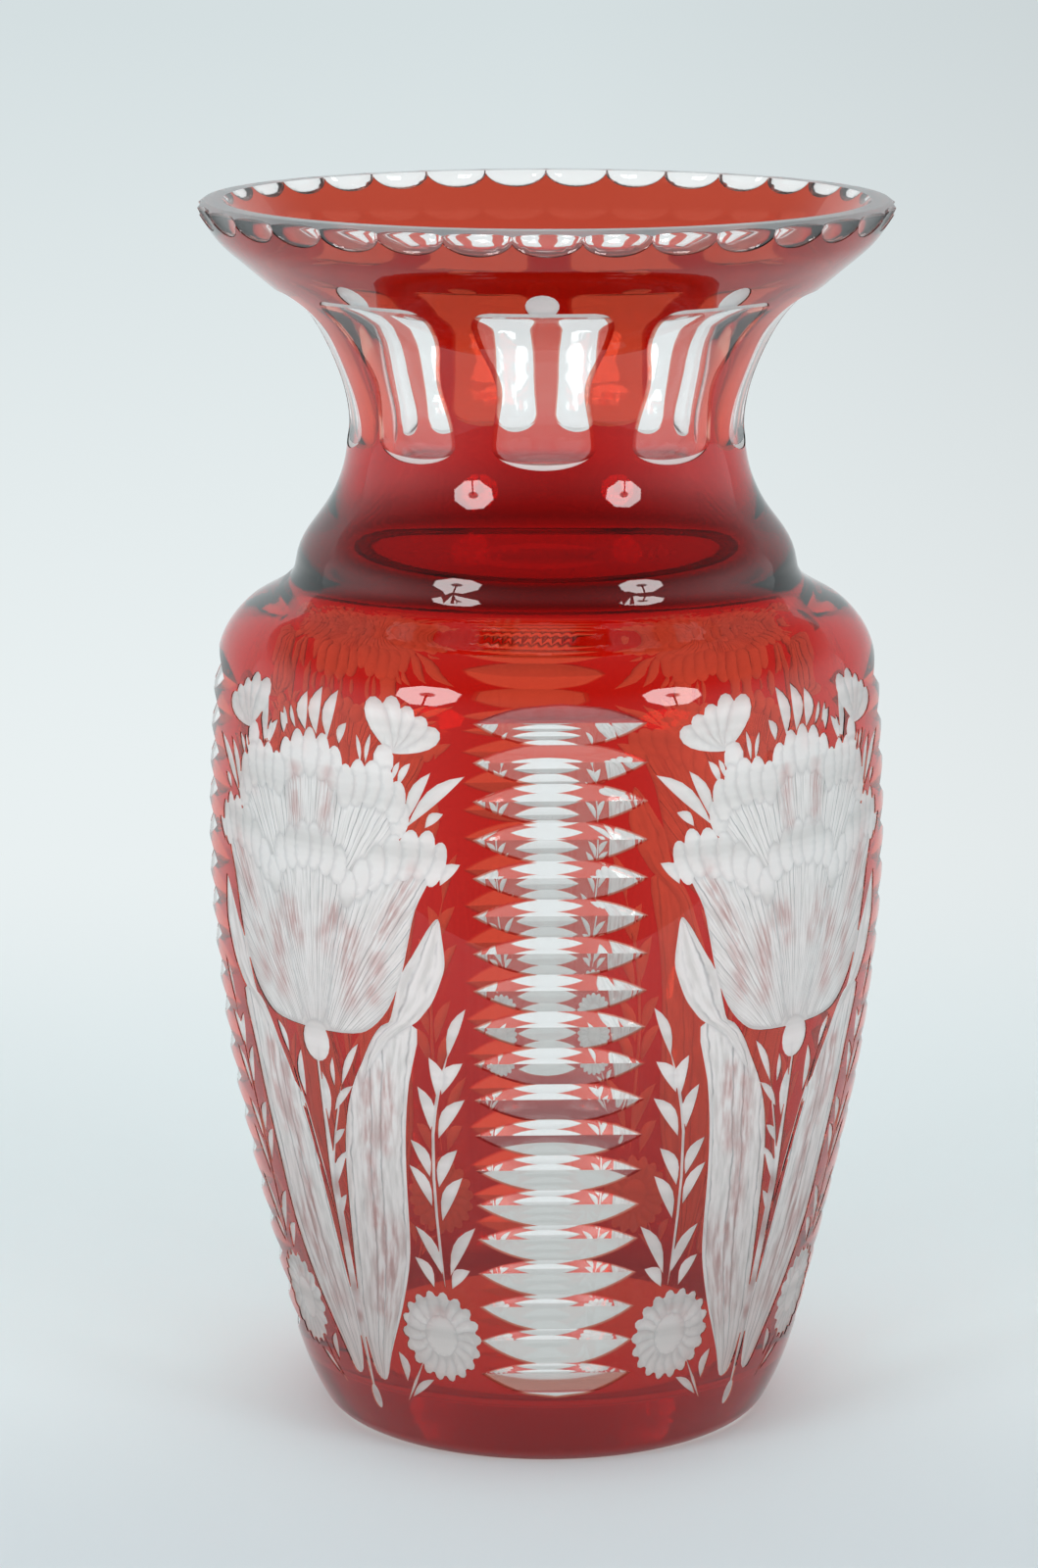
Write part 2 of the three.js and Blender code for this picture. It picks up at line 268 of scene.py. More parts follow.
def smooth(x, y):
    """Natural cubic spline: a cubic on each stretch, whose slope and bend run on into the next one."""
    x, y = np.asarray(x, float), np.asarray(y, float)
    gap = np.diff(x)
    system = np.eye(len(x))
    bend_sum = np.zeros(len(x))
    inner = np.arange(1, len(x) - 1)
    system[inner, inner - 1] = gap[:-1]
    system[inner, inner] = 2 * (gap[:-1] + gap[1:])
    system[inner, inner + 1] = gap[1:]
    bend_sum[inner] = 6 * (np.diff(y)[1:] / gap[1:] - np.diff(y)[:-1] / gap[:-1])
    bend = np.linalg.solve(system, bend_sum)

    def curve(at):
        """The cubic of the stretch that each place lies on."""
        at = np.asarray(at, float)
        i = np.clip(np.searchsorted(x, at) - 1, 0, len(x) - 2)
        h, before, after = gap[i], at - x[i], x[i + 1] - at
        return (
            (bend[i] * after**3 + bend[i + 1] * before**3) / (6 * h)
            + (y[i] / h - bend[i] * h / 6) * after
            + (y[i + 1] / h - bend[i + 1] * h / 6) * before
        )

    return curve


body_curve, neck_curve = (smooth(*np.transpose(part)[::-1]) for part in (body_outline, neck_outline))


def outer_radius(z):
    """Radius of the uncut wall: the body's spline up to the crease, and the neck's above it."""
    return np.where(z < crease_height, body_curve(z), neck_curve(z))


def outer_slope(z, reach=0.1):
    """How much the radius grows per mm of height, from the outline 0.1 mm above and below."""
    return (outer_radius(z + reach) - outer_radius(z - reach)) / (2 * reach)


# Cuts: the wall is ground through the ruby on stone wheels and polished. Four columns of mitre
# grooves, nine flat windows round the neck, and 33 hollows side by side on the rim. Angles in degrees
# from the middle of the cut, or of the flower panel beside a column, and heights and depths in mm.
step = 360 / 792  # divides a quarter, a ninth and a 33rd of a turn alike
column_turn = 45.0  # from a flower panel's middle to a column's
window_count, window_turn = 9, -7 * step
hollow_count, hollow_turn = 33, -5 * step
groove_heights = np.linspace(186.8, 25.0, 19)
groove_pitch = groove_heights[0] - groove_heights[1]
groove_depth, ridge_depth = 2.55, 0.42
facet_bow = 0.045
# below 70 mm the ridges sit nearer and nearer to the groove under them
ridge_lean = 0.18 * np.clip(1 - groove_heights[1:] / 70, 0, None)
ridge_heights = groove_heights[:-1] - (0.5 + ridge_lean) * groove_pitch
column_foot, column_top = 19.0, 191.6
window_foot, window_top = 240.8, 279.5
window_middle = 252, 275
window_wall = 1.2  # height of the steep ledge at the window's top
window_foot_round = 5.4
window_corner = {"high": 4.6, "wide": 5.0}
window_half = smooth(
    [240, 246, 250, 255, 259.5, 264, 270, 275, 280],
    [14.7, 14.6, 14.1, 13.0, 12.3, 13.0, 15.0, 15.5, 15.4],
)
hollow_width, hollow_height, hollow_depth = 8.4, 5.4, 1.7
hollow_half = 12 * step
flare_length = math.hypot(1, float(outer_slope(295.4)))  # mm of wall to a mm of height, at the hollows
bevel_in, bevel_up = 2.2, top_height - rim_height
bevel_length = math.hypot(bevel_in, bevel_up)
square_from, square_to = 288.0, 292.0  # where depth turns from level to square to the flared wall


def place(v, depth):
    """Radius and height of a point at a height v, some depth under the wall. Depth is measured square to
    the wall: on the body and neck the point keeps its height, and above square_to it moves square in.
    Past the rim's edge, v runs on up the bevel, straight from wherever the edge is to the flat top."""
    wall = np.minimum(v, rim_height)
    slope = outer_slope(wall)
    share = np.clip((v - square_from) / (square_to - square_from), 0, 1)
    lean = np.sqrt(1 + slope**2)
    r = outer_radius(wall) - depth * (share / lean + (1 - share) * lean)
    z = wall + depth * share * slope / lean
    up = np.clip((v - rim_height) / bevel_length, 0, 1)
    r_top = outer_radius(np.float64(rim_height)) - bevel_in
    return r + (r_top - r) * up, z + (top_height - z) * up


def folded_outline():
    """The column's zigzag in height and radius: grooves and ridges in turn, and a mirror image of the
    outermost groove past each end, so that the end faces run on out through the wall."""
    z = np.concatenate([groove_heights, ridge_heights])
    r = outer_radius(z) - np.repeat([groove_depth, ridge_depth], [len(groove_heights), len(ridge_heights)])
    z, r = np.sort(z), r[np.argsort(z)]
    ends = np.array([column_foot, column_top])
    far_z, far_r = 2 * ends - z[[0, -1]], 2 * outer_radius(ends) - r[[0, -1]]
    return (np.concatenate([far[:1], near, far[1:]]) for far, near in ((far_z, z), (far_r, r)))


fold_z, fold_r = folded_outline()


def folded_radius(v):
    """Radius of the zigzag at a height: straight from fold to fold, less a parabola's bow in between,
    because the mitre wheel's sides are a little rounded."""
    i = np.clip(np.searchsorted(fold_z, v) - 1, 0, len(fold_z) - 2)
    share = (v - fold_z[i]) / (fold_z[i + 1] - fold_z[i])
    return np.interp(v, fold_z, fold_r) - facet_bow * 4 * share * (1 - share)


def column_cut(a, v):
    """Depth of the mitre grooves: faces square to the column's middle, so the cut's radius is the
    zigzag over the cosine of the angle from there."""
    cut = folded_radius(v) / np.cos(np.radians(column_turn - np.abs(a)))
    return (outer_radius(v) - cut) / np.sqrt(1 + outer_slope(v) ** 2)


def window_edge(v):
    """Half the window's width in degrees: waisted, with an oval foot and two small round corners."""
    foot = 1 - np.clip((v - window_foot) / window_foot_round, 0, 1)
    corner = 1 - np.clip((window_top - v) / window_corner["high"], 0, 1)
    return window_half(v) * np.sqrt(1 - foot**2) - window_corner["wide"] * (1 - np.sqrt(1 - corner**2))


def window_cut(a, v):
    """Depth of a window: straight across between its two edges, with a short steep wall at the top."""
    r = outer_radius(v)
    cut = r * np.cos(np.radians(window_edge(v))) / np.cos(np.radians(a))
    wall = np.clip((v - window_top + window_wall) / window_wall, 0, 1)
    return (r - cut) * (1 - wall) / np.sqrt(1 + outer_slope(v) ** 2)


def hollow_cut(a, v):
    """Depth of a rim hollow: half an ellipsoid centred on the rim's edge."""
    across = outer_radius(np.minimum(v, rim_height)) * np.sin(np.radians(a)) / hollow_width
    down = np.maximum(rim_height - v, 0) * flare_length / hollow_height
    return hollow_depth * np.sqrt(np.clip(1 - across**2 - down**2, 0, 1))


def to_depth(outline, spine, cut, depth):
    """Moves each point of a cut's outline towards its own point of the spine, by halving the way 30
    times, to where the cut is a given depth."""
    near, far = outline.copy(), spine.copy()
    for _ in range(30):
        middle = (near + far) / 2
        shallow = (cut(middle[:, 0], middle[:, 1]) < depth)[:, None]
        near, far = np.where(shallow, middle, near), np.where(shallow, far, middle)
    return (near + far) / 2


def column_outlines():
    """The edge of a column on the wall, where the zigzag meets it, and at the ruby's back, each from
    foot to top. The foot and top are the outermost heights at which the middle is cut at all."""
    fine = np.linspace(column_foot - 3, column_top + 3, 20001)
    open_part = fine[column_cut(np.full(len(fine), column_turn), fine) > 0][[0, -1]]
    v = np.unique(np.concatenate([fold_z[1:-1], np.linspace(column_foot, column_top, 211)]))
    v = v[(v > open_part[0] + 0.3) & (v < open_part[1] - 0.3)]
    v = np.concatenate([open_part[:1], v, open_part[1:]])
    reach = np.degrees(np.arccos(np.clip(folded_radius(v) / outer_radius(v), -1, 1)))
    reach[[0, -1]] = 0
    outline = np.stack([column_turn - reach, v], 1)
    spine = np.stack([np.full(len(v), column_turn), np.clip(v, groove_heights[-1], groove_heights[0])], 1)
    return outline, to_depth(outline, spine, column_cut, ruby_thickness)


def window_outlines():
    """The closed edge of a window on the wall and at the ruby's back: round its foot, up one side, round
    the corner, along the level top and down the other side."""
    turn = np.linspace(0, math.pi / 2, 9)[1:]
    v = np.concatenate([
        window_foot + window_foot_round * (1 - np.cos(turn)),
        np.linspace(window_foot + window_foot_round, window_top - window_corner["high"], 24)[1:],
        window_top - window_corner["high"] * (1 - np.sin(turn)),
    ])
    side = np.stack([window_edge(v), v], 1)
    top = np.linspace(side[-1, 0], -side[-1, 0], 14)[1:-1]
    outline = np.concatenate([
        [[0, window_foot]], side, np.stack([top, np.full(len(top), window_top)], 1), side[::-1] * [-1, 1],
    ])
    spine = np.stack([outline[:, 0] * 0.4, np.clip(outline[:, 1], *window_middle)], 1)
    return outline, to_depth(outline, spine, window_cut, ruby_thickness)


def hollow_outline(depth):
    """An edge of a rim hollow at a depth: an ellipse, from one side of its sector round to the other."""
    scale = math.sqrt(1 - (depth / hollow_depth) ** 2)
    drop = hollow_height * scale / flare_length
    turn = np.linspace(0, math.pi / 2, 4001)
    v = rim_height - drop * np.cos(turn)
    a = np.degrees(np.arcsin(hollow_width * scale * np.sin(turn) / outer_radius(v)))
    chosen = np.linspace(0, np.interp(hollow_half, a, turn), 15)
    right = np.stack([np.interp(chosen, turn, a), np.interp(chosen, turn, v)], 1)
    right[-1, 0] = hollow_half
    return np.concatenate([right[:0:-1] * [-1, 1], right])


# Engraving: flower panels wheel-cut through the ruby and left matte. Each is drawn flat, in degrees
# from its middle and mm up the wall: a bloom on a stem between long leaves, vines, daisies and buds.
DEGREE = math.radians(80)  # mm of wall to a degree, near the widest part, where the radius is 80 mm


def rounded(points, steps=5):
    """A closed curve through the points: on each stretch, a cubic with its neighbours' slopes."""
    p = np.asarray(points, float)
    before, after, beyond = np.roll(p, 1, 0), np.roll(p, -1, 0), np.roll(p, -2, 0)
    t = np.linspace(0, 1, steps, endpoint=False)[:, None, None]
    curve = (
        p + t * (after - before) / 2 + t**2 * (2 * before - 5 * p + 4 * after - beyond) / 2
        + t**3 * (3 * p - 3 * after + beyond - before) / 2
    )
    return curve.transpose(1, 0, 2).reshape(-1, 2)


def oval(a, z, half_width, half_height, tilt=0.0, sides=18):
    """An ellipse whose half sizes are in mm, tilted by degrees away from upright."""
    turn = np.linspace(0, 2 * math.pi, sides, endpoint=False)
    x, y = half_width * np.sin(turn), half_height * np.cos(turn)
    lean = math.radians(tilt)
    x, y = x * math.cos(lean) + y * math.sin(lean), y * math.cos(lean) - x * math.sin(lean)
    return np.stack([a + x / DEGREE, z + y], 1)


def comma(tip, root, bulge, towards=(0, 1), back=0.45, steps=7):
    """A wheel's single touch: pointed at tip and root, bulged by a sine on the side towards a direction,
    and nearly flat at its back."""
    scale = np.array([DEGREE, 1])
    start, end, side = np.array(tip) * scale, np.array(root) * scale, np.array(towards, float)
    along = (end - start) / np.linalg.norm(end - start)
    across = np.array([-along[1], along[0]])
    across *= 1 if across @ side > 0 else -1
    t = np.linspace(0, 1, steps)[:, None]
    line = start + (end - start) * t
    rise = np.sin(math.pi * t**0.9)
    front = line + across * bulge * rise
    behind = (line - across * back * rise)[-2:0:-1]
    return np.concatenate([front, behind]) / scale


def stalk(points, width):
    """A thin line of even width along a polyline, pointed at its two ends."""
    p = np.array(points, float) * [DEGREE, 1]
    along = np.gradient(p, axis=0)
    across = np.stack([-along[:, 1], along[:, 0]], 1) / np.linalg.norm(along, axis=1)[:, None]
    half = np.full((len(p), 1), width / 2)
    half[[0, -1]] = width / 8
    return np.concatenate([p + across * half, (p - across * half)[::-1]]) / [DEGREE, 1]


def petal(root, tip, width, sides=16):
    """A drop shape: an ellipse from root to tip, drawn in towards the root to a third of its width."""
    x, y = (tip[0] - root[0]) * DEGREE, tip[1] - root[1]
    length = math.hypot(x, y)
    turn = np.linspace(0, 2 * math.pi, sides, endpoint=False)
    up = 0.5 - 0.5 * np.cos(turn)
    out = width / 2 * np.sin(turn) * (0.35 + 0.65 * up) * 1.25
    return np.stack([root[0] + (x * up + y / length * out) / DEGREE, root[1] + y * up - x / length * out], 1)


def mirrored(outline):
    """The same outline on the other side of the panel's middle."""
    return outline * [-1, 1]


bloom_base = (0.0, 100.0)
cup = [
    (0, 109.6), (8.4, 110.2), (12.4, 112.5), (15.9, 118), (18.4, 126), (19.8, 134), (21.2, 142.5),
    (23.4, 149), (25, 154.5), (22.6, 158.2), (18.4, 158.6), (17.6, 161.5), (18.0, 166), (16.2, 170.6),
    (12.6, 173.2), (8.6, 172.4), (6.5, 170.8), (4.2, 175.4),
]
crown_petal = [
    (0, 179), (3, 178.6), (5.6, 176), (6.8, 170), (5.6, 164), (4.2, 158), (2.5, 152), (0, 150),
]
inner_petal = [
    (18.6, 160.5), (18.2, 165), (16.6, 169.5), (13, 172.6), (9, 172.4), (6.4, 170), (5.0, 165), (4.0, 159),
    (4.4, 152), (6.5, 146), (10, 144), (14, 148), (17.2, 154),
]
lip_petal = [
    (24.3, 153.5), (22.6, 148.5), (20.9, 142.5), (19.5, 134), (18.1, 126), (15.6, 118.3), (12.2, 113),
    (8.3, 110.9), (3.5, 110.6), (3.0, 116), (3.6, 124), (4.6, 132), (6.0, 140), (8.2, 146), (11, 150),
    (14.5, 154), (18.5, 156.5), (22, 156.5),
]
centre_petal = [
    (0, 156.4), (3.5, 155.4), (6.4, 152.2), (7.6, 148), (6.8, 141), (5.6, 133), (4.6, 125), (3.4, 117),
    (1.6, 111.2), (0, 110.4),
]
lip_fingers = [
    (24.7, 153.6, 2.3, 5.6), (22.5, 155.6, 2.6, 6.2), (19.7, 155.2, 2.8, 6.4), (16.7, 153.8, 2.7, 6.2),
    (13.8, 151.4, 2.6, 5.8), (11.0, 148.2, 2.5, 5.2), (8.5, 145.4, 2.3, 4.6),
]
centre_fingers = [(6.6, 150.9, 2.4, 4.8), (4.0, 153, 2.5, 5.4), (1.3, 154.2, 2.5, 5.8)]
inner_fingers = [
    (18.3, 163.2, 2.4, 4.6), (17.5, 167.4, 2.6, 5.2), (15.3, 170.1, 2.6, 5.6), (12.8, 171, 2.7, 5.8),
    (10.2, 170.9, 2.6, 5.8), (7.8, 169.8, 2.4, 5.4),
]
crown_fingers = [(5.5, 173.6, 2.6, 5.4), (2.8, 175.7, 2.7, 5.8)]
leaf_blade = [
    (4.9, 19.4), (7.6, 27), (11.4, 37.5), (13.6, 45), (15.5, 53.7), (16.3, 63), (16.9, 77), (17.8, 90),
    (18.9, 100), (20.9, 113.5), (15.4, 114.2), (12.4, 110.2), (9.9, 103.7), (7.4, 97), (5.4, 89),
    (3.9, 79), (2.9, 67), (1.9, 54), (0.8, 38.7), (0.8, 28.7), (2.1, 20.4),
]
leaf_tip = [
    (9.4, 98), (10.9, 105.8), (12.3, 110), (14, 112.8), (15.7, 114.5), (16.8, 119), (17.5, 122.8),
    (18.7, 127.4), (20.4, 131.2), (22.1, 135.3), (23.6, 138.8), (25.1, 140.8), (25.7, 136.4), (26.1, 130.1),
    (25.4, 126), (23.9, 120.8), (22.3, 117.6), (20.8, 115.2), (18.2, 112.8), (15.4, 109.7), (13.2, 105.8),
    (11, 101.7),
]
vine_line = [
    (22.5, 47.5), (22.2, 56), (22.1, 66), (22.2, 76), (22.7, 87.5), (23.4, 93.7), (24.4, 100), (26.1, 108),
]
vine_leaves = [
    ((28.65, 106), (24.65, 97.7)), ((28.8, 96.9), (23.65, 86.5)), ((27, 84), (23, 73.7)),
    ((27.65, 76.9), (23.15, 65)), ((29.5, 64), (23.8, 50.6)), ((27.9, 52.5), (23.9, 47.2)),
    ((22.65, 106.9), (23.8, 96.9)), ((20.3, 99.4), (22.3, 88.4)), ((18.25, 85.6), (21.5, 76.2)),
    ((17.5, 79), (21.4, 68.5)), ((17.4, 63.1), (22.15, 50.6)), ((16.55, 54.7), (20.15, 46.9)),
]
daisy_middle = (20.4, 34.0)
daisy_petals, daisy_ring = 18, np.array([8.7, 8.5])
bud_root = (16.6, 179.0)
bud_petals = [((25.1, 184.4), 5.8), ((22.6, 187.4), 5.2), ((19.6, 189.9), 5.2), ((16.0, 192.0), 5.8),
              ((11.9, 191.2), 6.2)]
side_commas = [
    ((29.4, 174.6), (19.65, 161.9), 3.0), ((23.65, 175), (19.4, 162.7), 2.6),
    ((20.15, 176.9), (17.9, 171.2), 1.5), ((18.2, 177), (17.0, 172.6), 1.0),
    ((25.9, 165.6), (22.8, 162), 1.9), ((28.8, 154), (25.4, 148.7), 2.6),
    ((12.65, 183), (11.8, 175.6), 0.9), ((9.8, 182.5), (10.9, 175.6), 0.9),
    ((7.8, 184.6), (6.4, 179.4), 2.0),
]
upright_commas = [
    ((5.4, 191.9), (3.9, 180), 3.3), ((1.8, 192.2), (1.5, 180.6), 3.6), ((-1.5, 190.6), (-1, 181.2), 3.4),
    ((-5.2, 186.9), (-3.35, 181.2), 1.2), ((-6.85, 186.2), (-5.35, 181.5), 1.0),
    ((-8.1, 182.5), (-10.4, 176), 1.8), ((-11.35, 187.5), (-11.1, 176), 2.6),
]
sprig_lines = [[(-0.8, 67.5), (0.6, 76), (2.2, 84), (3.6, 90), (4.9, 97)],
               [(-1.2, 62), (-2.4, 74), (-4.2, 88), (-7.4, 101.5)]]
sprig_leaves = [
    ((9.4, 108), (4.9, 96.2), 1.7), ((7.4, 96.9), (2.65, 89.4), 1.7), ((3.5, 103.5), (3.4, 95.6), 1.2),
    ((0.6, 99.4), (0.9, 86.2), 2.2), ((4.65, 85.4), (1.15, 80), 1.5), ((4.4, 79.7), (-0.4, 68), 2.2),
    ((2.65, 68), (-0.4, 60), 1.8), ((-4.1, 103.7), (-4.1, 91), 2.2), ((-10.1, 109.4), (-7.4, 101.2), 1.9),
    ((-9.1, 96.2), (-4.6, 87.5), 2.0), ((-7.1, 80.6), (-3.1, 73.7), 1.8), ((-6.1, 70.6), (-3.1, 63.7), 1.6),
    ((-4.6, 56.9), (-2.85, 50), 1.4),
]
brushed_paths = [
    ([(20.4, 151), (17.8, 143), (15.0, 136), (13.8, 128), (12.6, 120)], 2.0), ([(5.0, 139), (3.2, 132)], 2.6),
    ([(13.8, 102), (14.2, 92), (12.6, 82)], 2.0), ([(10.4, 98), (9.4, 86), (9.2, 74), (8.6, 62)], 2.2),
    ([(11.6, 59), (9.0, 48), (7.0, 38)], 4.5), ([(23, 38.2), (20.4, 40.6), (17.6, 38.2)], 1.3),
    ([(8.6, 134), (8.0, 118)], 2.6), ([(3.8, 172), (3.4, 160)], 1.8), ([(0, 70), (0, 34)], 1.6),
]
FIELD, FINGER, TOUCH, BLADE, DAISY, LEDGE = range(6)  # petals, fingertips, single touches, leaves and so on


def finger(a, z, half_width, half_height):
    """A petal's fingertip: an oval that leans half as much as the line from the bloom's base to it."""
    lean = math.degrees(math.atan2((a - bloom_base[0]) * DEGREE, z - bloom_base[1])) / 2
    return oval(a, z, half_width, half_height, lean)


def fan(root, spacing):
    """Wheel lines that spread from a root: a line's number is its angle there over the spacing."""
    return lambda a, z: np.degrees(np.arctan2((a - root[0]) * DEGREE, z - root[1])) / spacing


def ribs(near, far, count):
    """Wheel lines along a blade: a line's number is its share of the way from one edge, given from the
    bottom up, to the other."""
    near, far = np.transpose(near), np.transpose(far)

    def lines(a, z):
        """The share of the way across at each point's height, times the count of lines."""
        start, end = np.interp(z, *near[::-1]), np.interp(z, *far[::-1])
        return count * (a - start) / np.maximum(end - start, 1)

    return lines


def plain(a, z):
    """No wheel lines."""
    return 0 * a


def reflected(motif):
    """The same motif on the other side of the panel's middle."""
    kind, outline, lines = motif
    return kind, mirrored(outline), lambda a, z: lines(-a, z)


def both_sides(half):
    """A closed curve from its right half, which starts and ends on the middle."""
    return rounded(np.concatenate([half, mirrored(np.array(half[-2:0:-1]))]), 3)


def panel_motifs():
    """Every outline of a flower panel with its kind and its wheel lines, in the order that they are cut:
    what stands on the middle, then a half and its mirror image. Later ones lie over others."""
    stems = [oval(0, 13.4, 1.9, 3.4), stalk([(0, 12), (0, 40), (0, 70), (0, 106)], 2.9)]
    stems += [comma(tip, root, bulge, (-1, 0)) for tip, root, bulge in upright_commas]
    stems += [stalk(line, 0.8) for line in sprig_lines] + [comma(*leaf) for leaf in sprig_leaves]
    side_petals = [(FIELD, rounded(inner_petal, 3), fan((3, 136), 3.2)),
                   (FIELD, rounded(lip_petal, 3), fan((0, 100), 2.1))]
    middle = [(TOUCH, touch, plain) for touch in stems] + [
        (FIELD, both_sides(cup + [(0, 178.5)]), plain),
        (FIELD, both_sides(crown_petal), fan((0, 130), 1.3)),
        *side_petals, *map(reflected, side_petals),
        (FIELD, both_sides(centre_petal), fan((0, 104), 1.8)),
    ]
    vine = [stalk(vine_line, 0.9), comma((29.4, 119.4), (26.0, 107), 2.2)]
    vine += [comma(tip, root, 2.9) for tip, root in vine_leaves]
    turns = 360 * (np.arange(daisy_petals) + 0.5) / daisy_petals
    reach = daisy_ring * np.stack([np.sin(np.radians(turns)), np.cos(np.radians(turns))], 1) / [DEGREE, 1]
    daisy = [oval(*daisy_middle, 11.0, 10.8)]
    daisy += [oval(*at, 2.0, 3.8, turn, 12) for at, turn in zip(reach + daisy_middle, turns)]
    bud = [petal(bud_root, tip, width) for tip, width in bud_petals]
    bud += [oval(15.2, 177.0, 2.8, 3.9, 0, 10), stalk([(15.6, 26.5), (12.6, 20), (9.9, 14.7)], 1)]
    bud += [comma((17.6, 21.8), (11.2, 15.8), 1.6), comma((9.4, 28.1), (10.6, 20), 2.8, (1, 0))]
    bud += [comma(*touch) for touch in side_commas]
    fingers = crown_fingers + inner_fingers + lip_fingers + centre_fingers
    half = [
        (BLADE, rounded(leaf_blade, 3), ribs(leaf_blade[-1:13:-1], leaf_blade[:10], 6)),
        (BLADE, rounded(leaf_tip, 3), ribs(leaf_tip[:12], leaf_tip[:10:-1], 2)),
        *[(TOUCH, touch, plain) for touch in vine], *[(DAISY, part, plain) for part in daisy],
        (FINGER, oval(*daisy_middle, 4.9, 5.6), plain), *[(TOUCH, touch, plain) for touch in bud],
        *[(FINGER, finger(*tip), plain) for tip in fingers],
    ]
    crown = [(FINGER, finger(0, 176.4, 2.6, 6.0), plain), (FINGER, oval(0, 106.6, 4.4, 5.2), plain)]
    return middle + half + [*map(reflected, half)] + crown


def neck_motifs():
    """The small matte oval on each window's top edge, the window's matte ledge, and the thin matte
    crescent that the wheel left at its foot."""
    turn = np.radians(np.linspace(-62, 62, 17))
    foot = window_foot + window_foot_round * (1 - np.cos(turn))
    a = window_half(foot) * np.sin(turn)
    raised = foot + 1.2 * np.cos(np.linspace(-math.pi / 2, math.pi / 2, 17))
    crescent = np.stack([np.append(a, a[-2:0:-1]), np.append(foot, raised[-2:0:-1])], 1)
    v = np.linspace(window_top - window_wall, window_top, 5)
    side = np.stack([window_edge(v), v], 1)
    ledge = np.concatenate([side, mirrored(side)[::-1]])
    return [(TOUCH, oval(0, 281.3, 4.6, 3.1), plain), (LEDGE, crescent, plain), (LEDGE, ledge, plain)]


# Unwrapping: the wall is meshed flat, sector by sector, so that every cut edge and engraved outline
# is an edge of the mesh, and is then wrapped round the vase. Angles in degrees, heights in mm.
RUBY, WEDGE, CUT, MATTE, RIM, HOLLOW, HEEL, BASE = range(8)  # what a face is; a wedge is ruby that is cut
engraved_depth = {FIELD: 0.22, FINGER: 0.35, TOUCH: 0.5, BLADE: 0.35, DAISY: 0.3, LEDGE: 0}
seat_depth = 0.7  # mm over which a wheel's touch reaches most of its depth
touch_border_shade, ruby_border_shade = 1.0, 0.4  # how strongly painted shade darkens the edge of a touch, beside another and beside ruby
# the edge mark carries painted shade along the touches' borders
corner_marks = ("grain", "thin", "edge")
ring_low, ring_shoulder, ring_flare = 0.7, 200.0, square_from
ring_top = rim_height + bevel_length
wall_spacing, matte_spacing, rim_spacing = 2.3, 1.1, 1.5


def inside(points, outline):
    """Which points lie in a closed outline: an odd number of its edges pass to their right."""
    found = np.zeros(len(points), bool)
    box = np.flatnonzero(((points > outline.min(0)) & (points < outline.max(0))).all(1))
    x, y = points[box, 0, None], points[box, 1, None]
    (ax, ay), (bx, by) = outline.T, np.roll(outline, -1, 0).T
    crosses = (ay > y) != (by > y)
    rise = np.where(by == ay, 1, by - ay)
    found[box] = (crosses & (x < ax + (y - ay) * (bx - ax) / rise)).sum(1) % 2 == 1
    return found


def in_any(points, outlines):
    """Which points lie in one or more of the closed outlines."""
    return sum((inside(points, outline) for outline in outlines), np.zeros(len(points), bool))


def edge_distance(points, path):
    """Distance in mm from each point to the nearest stretch of a path."""
    p, a, b = points * [DEGREE, 1], path[:-1] * [DEGREE, 1], path[1:] * [DEGREE, 1]
    run = b - a
    share = ((p[:, None] - a) * run).sum(2) / np.maximum((run**2).sum(1), 1e-12)
    foot = a + np.clip(share, 0, 1)[..., None] * run
    return np.sqrt(((p[:, None] - foot) ** 2).sum(2)).min(1)


def honeycomb(half, low, high, spacing):
    """Points in staggered rows across a sector, a given number of mm of wall apart."""
    wall = np.linspace(low, high, 2000)
    run = np.append(0, np.cumsum(np.hypot(np.diff(outer_radius(wall)), np.diff(wall))))
    heights = np.interp(np.arange(spacing * 0.8, run[-1] - spacing / 2, spacing * 0.87), run, wall)
    across = spacing / np.radians(outer_radius(heights))
    rows = [
        np.arange(-half + width * (0.6 + 0.5 * (i % 2)), half - width / 2, width)
        for i, width in enumerate(across)
    ]
    return np.stack([np.concatenate(rows), np.repeat(heights, [len(row) for row in rows])], 1)


def triangulate(half, low, high, sides, paths, loose):
    """Constrained Delaunay triangles of a sector: its frame and every path are kept as edges, and the
    loose points that stand 0.42 mm clear of them fill the rest. Points keep their exact places."""
    across = np.linspace(-half, half, round(2 * half / step) + 1)
    sides = np.unique(np.round(np.concatenate([[low, high], sides]), 6))
    paths = [np.stack([across, np.full(len(across), at)], 1) for at in (low, high)] + [
        np.stack([np.full(len(sides), at), sides], 1) for at in (-half, half)
    ] + paths
    clear = np.ones(len(loose), bool)
    for path in paths:
        near = ((loose > path.min(0) - 0.7) & (loose < path.max(0) + 0.7)).all(1) & clear
        clear[near] = edge_distance(loose[near], path) > 0.42
    starts = np.cumsum([0] + [len(path) for path in paths])
    edges = np.concatenate([np.arange(i, i + len(path) - 1) for i, path in zip(starts, paths)])
    points = np.round(np.concatenate(paths + [loose[clear]]), 6)
    flat, _, faces, origins, *_ = delaunay_2d_cdt(
        (points * [DEGREE, 1]).tolist(), np.stack([edges, edges + 1], 1).tolist(), [], 0, 1e-4
    )
    vertices, faces = np.array(flat, float) / [DEGREE, 1], np.array(faces)
    known = np.array(list(map(len, origins))) > 0
    vertices[known] = points[list(next(zip(*filter(None, origins))))]
    (ax, ay), (bx, by) = (vertices[faces[:, 1:]] - vertices[faces[:, :1]]).transpose(1, 2, 0)
    turned = ax * by - ay * bx < 0
    faces[turned] = faces[turned][:, ::-1]
    return vertices, faces


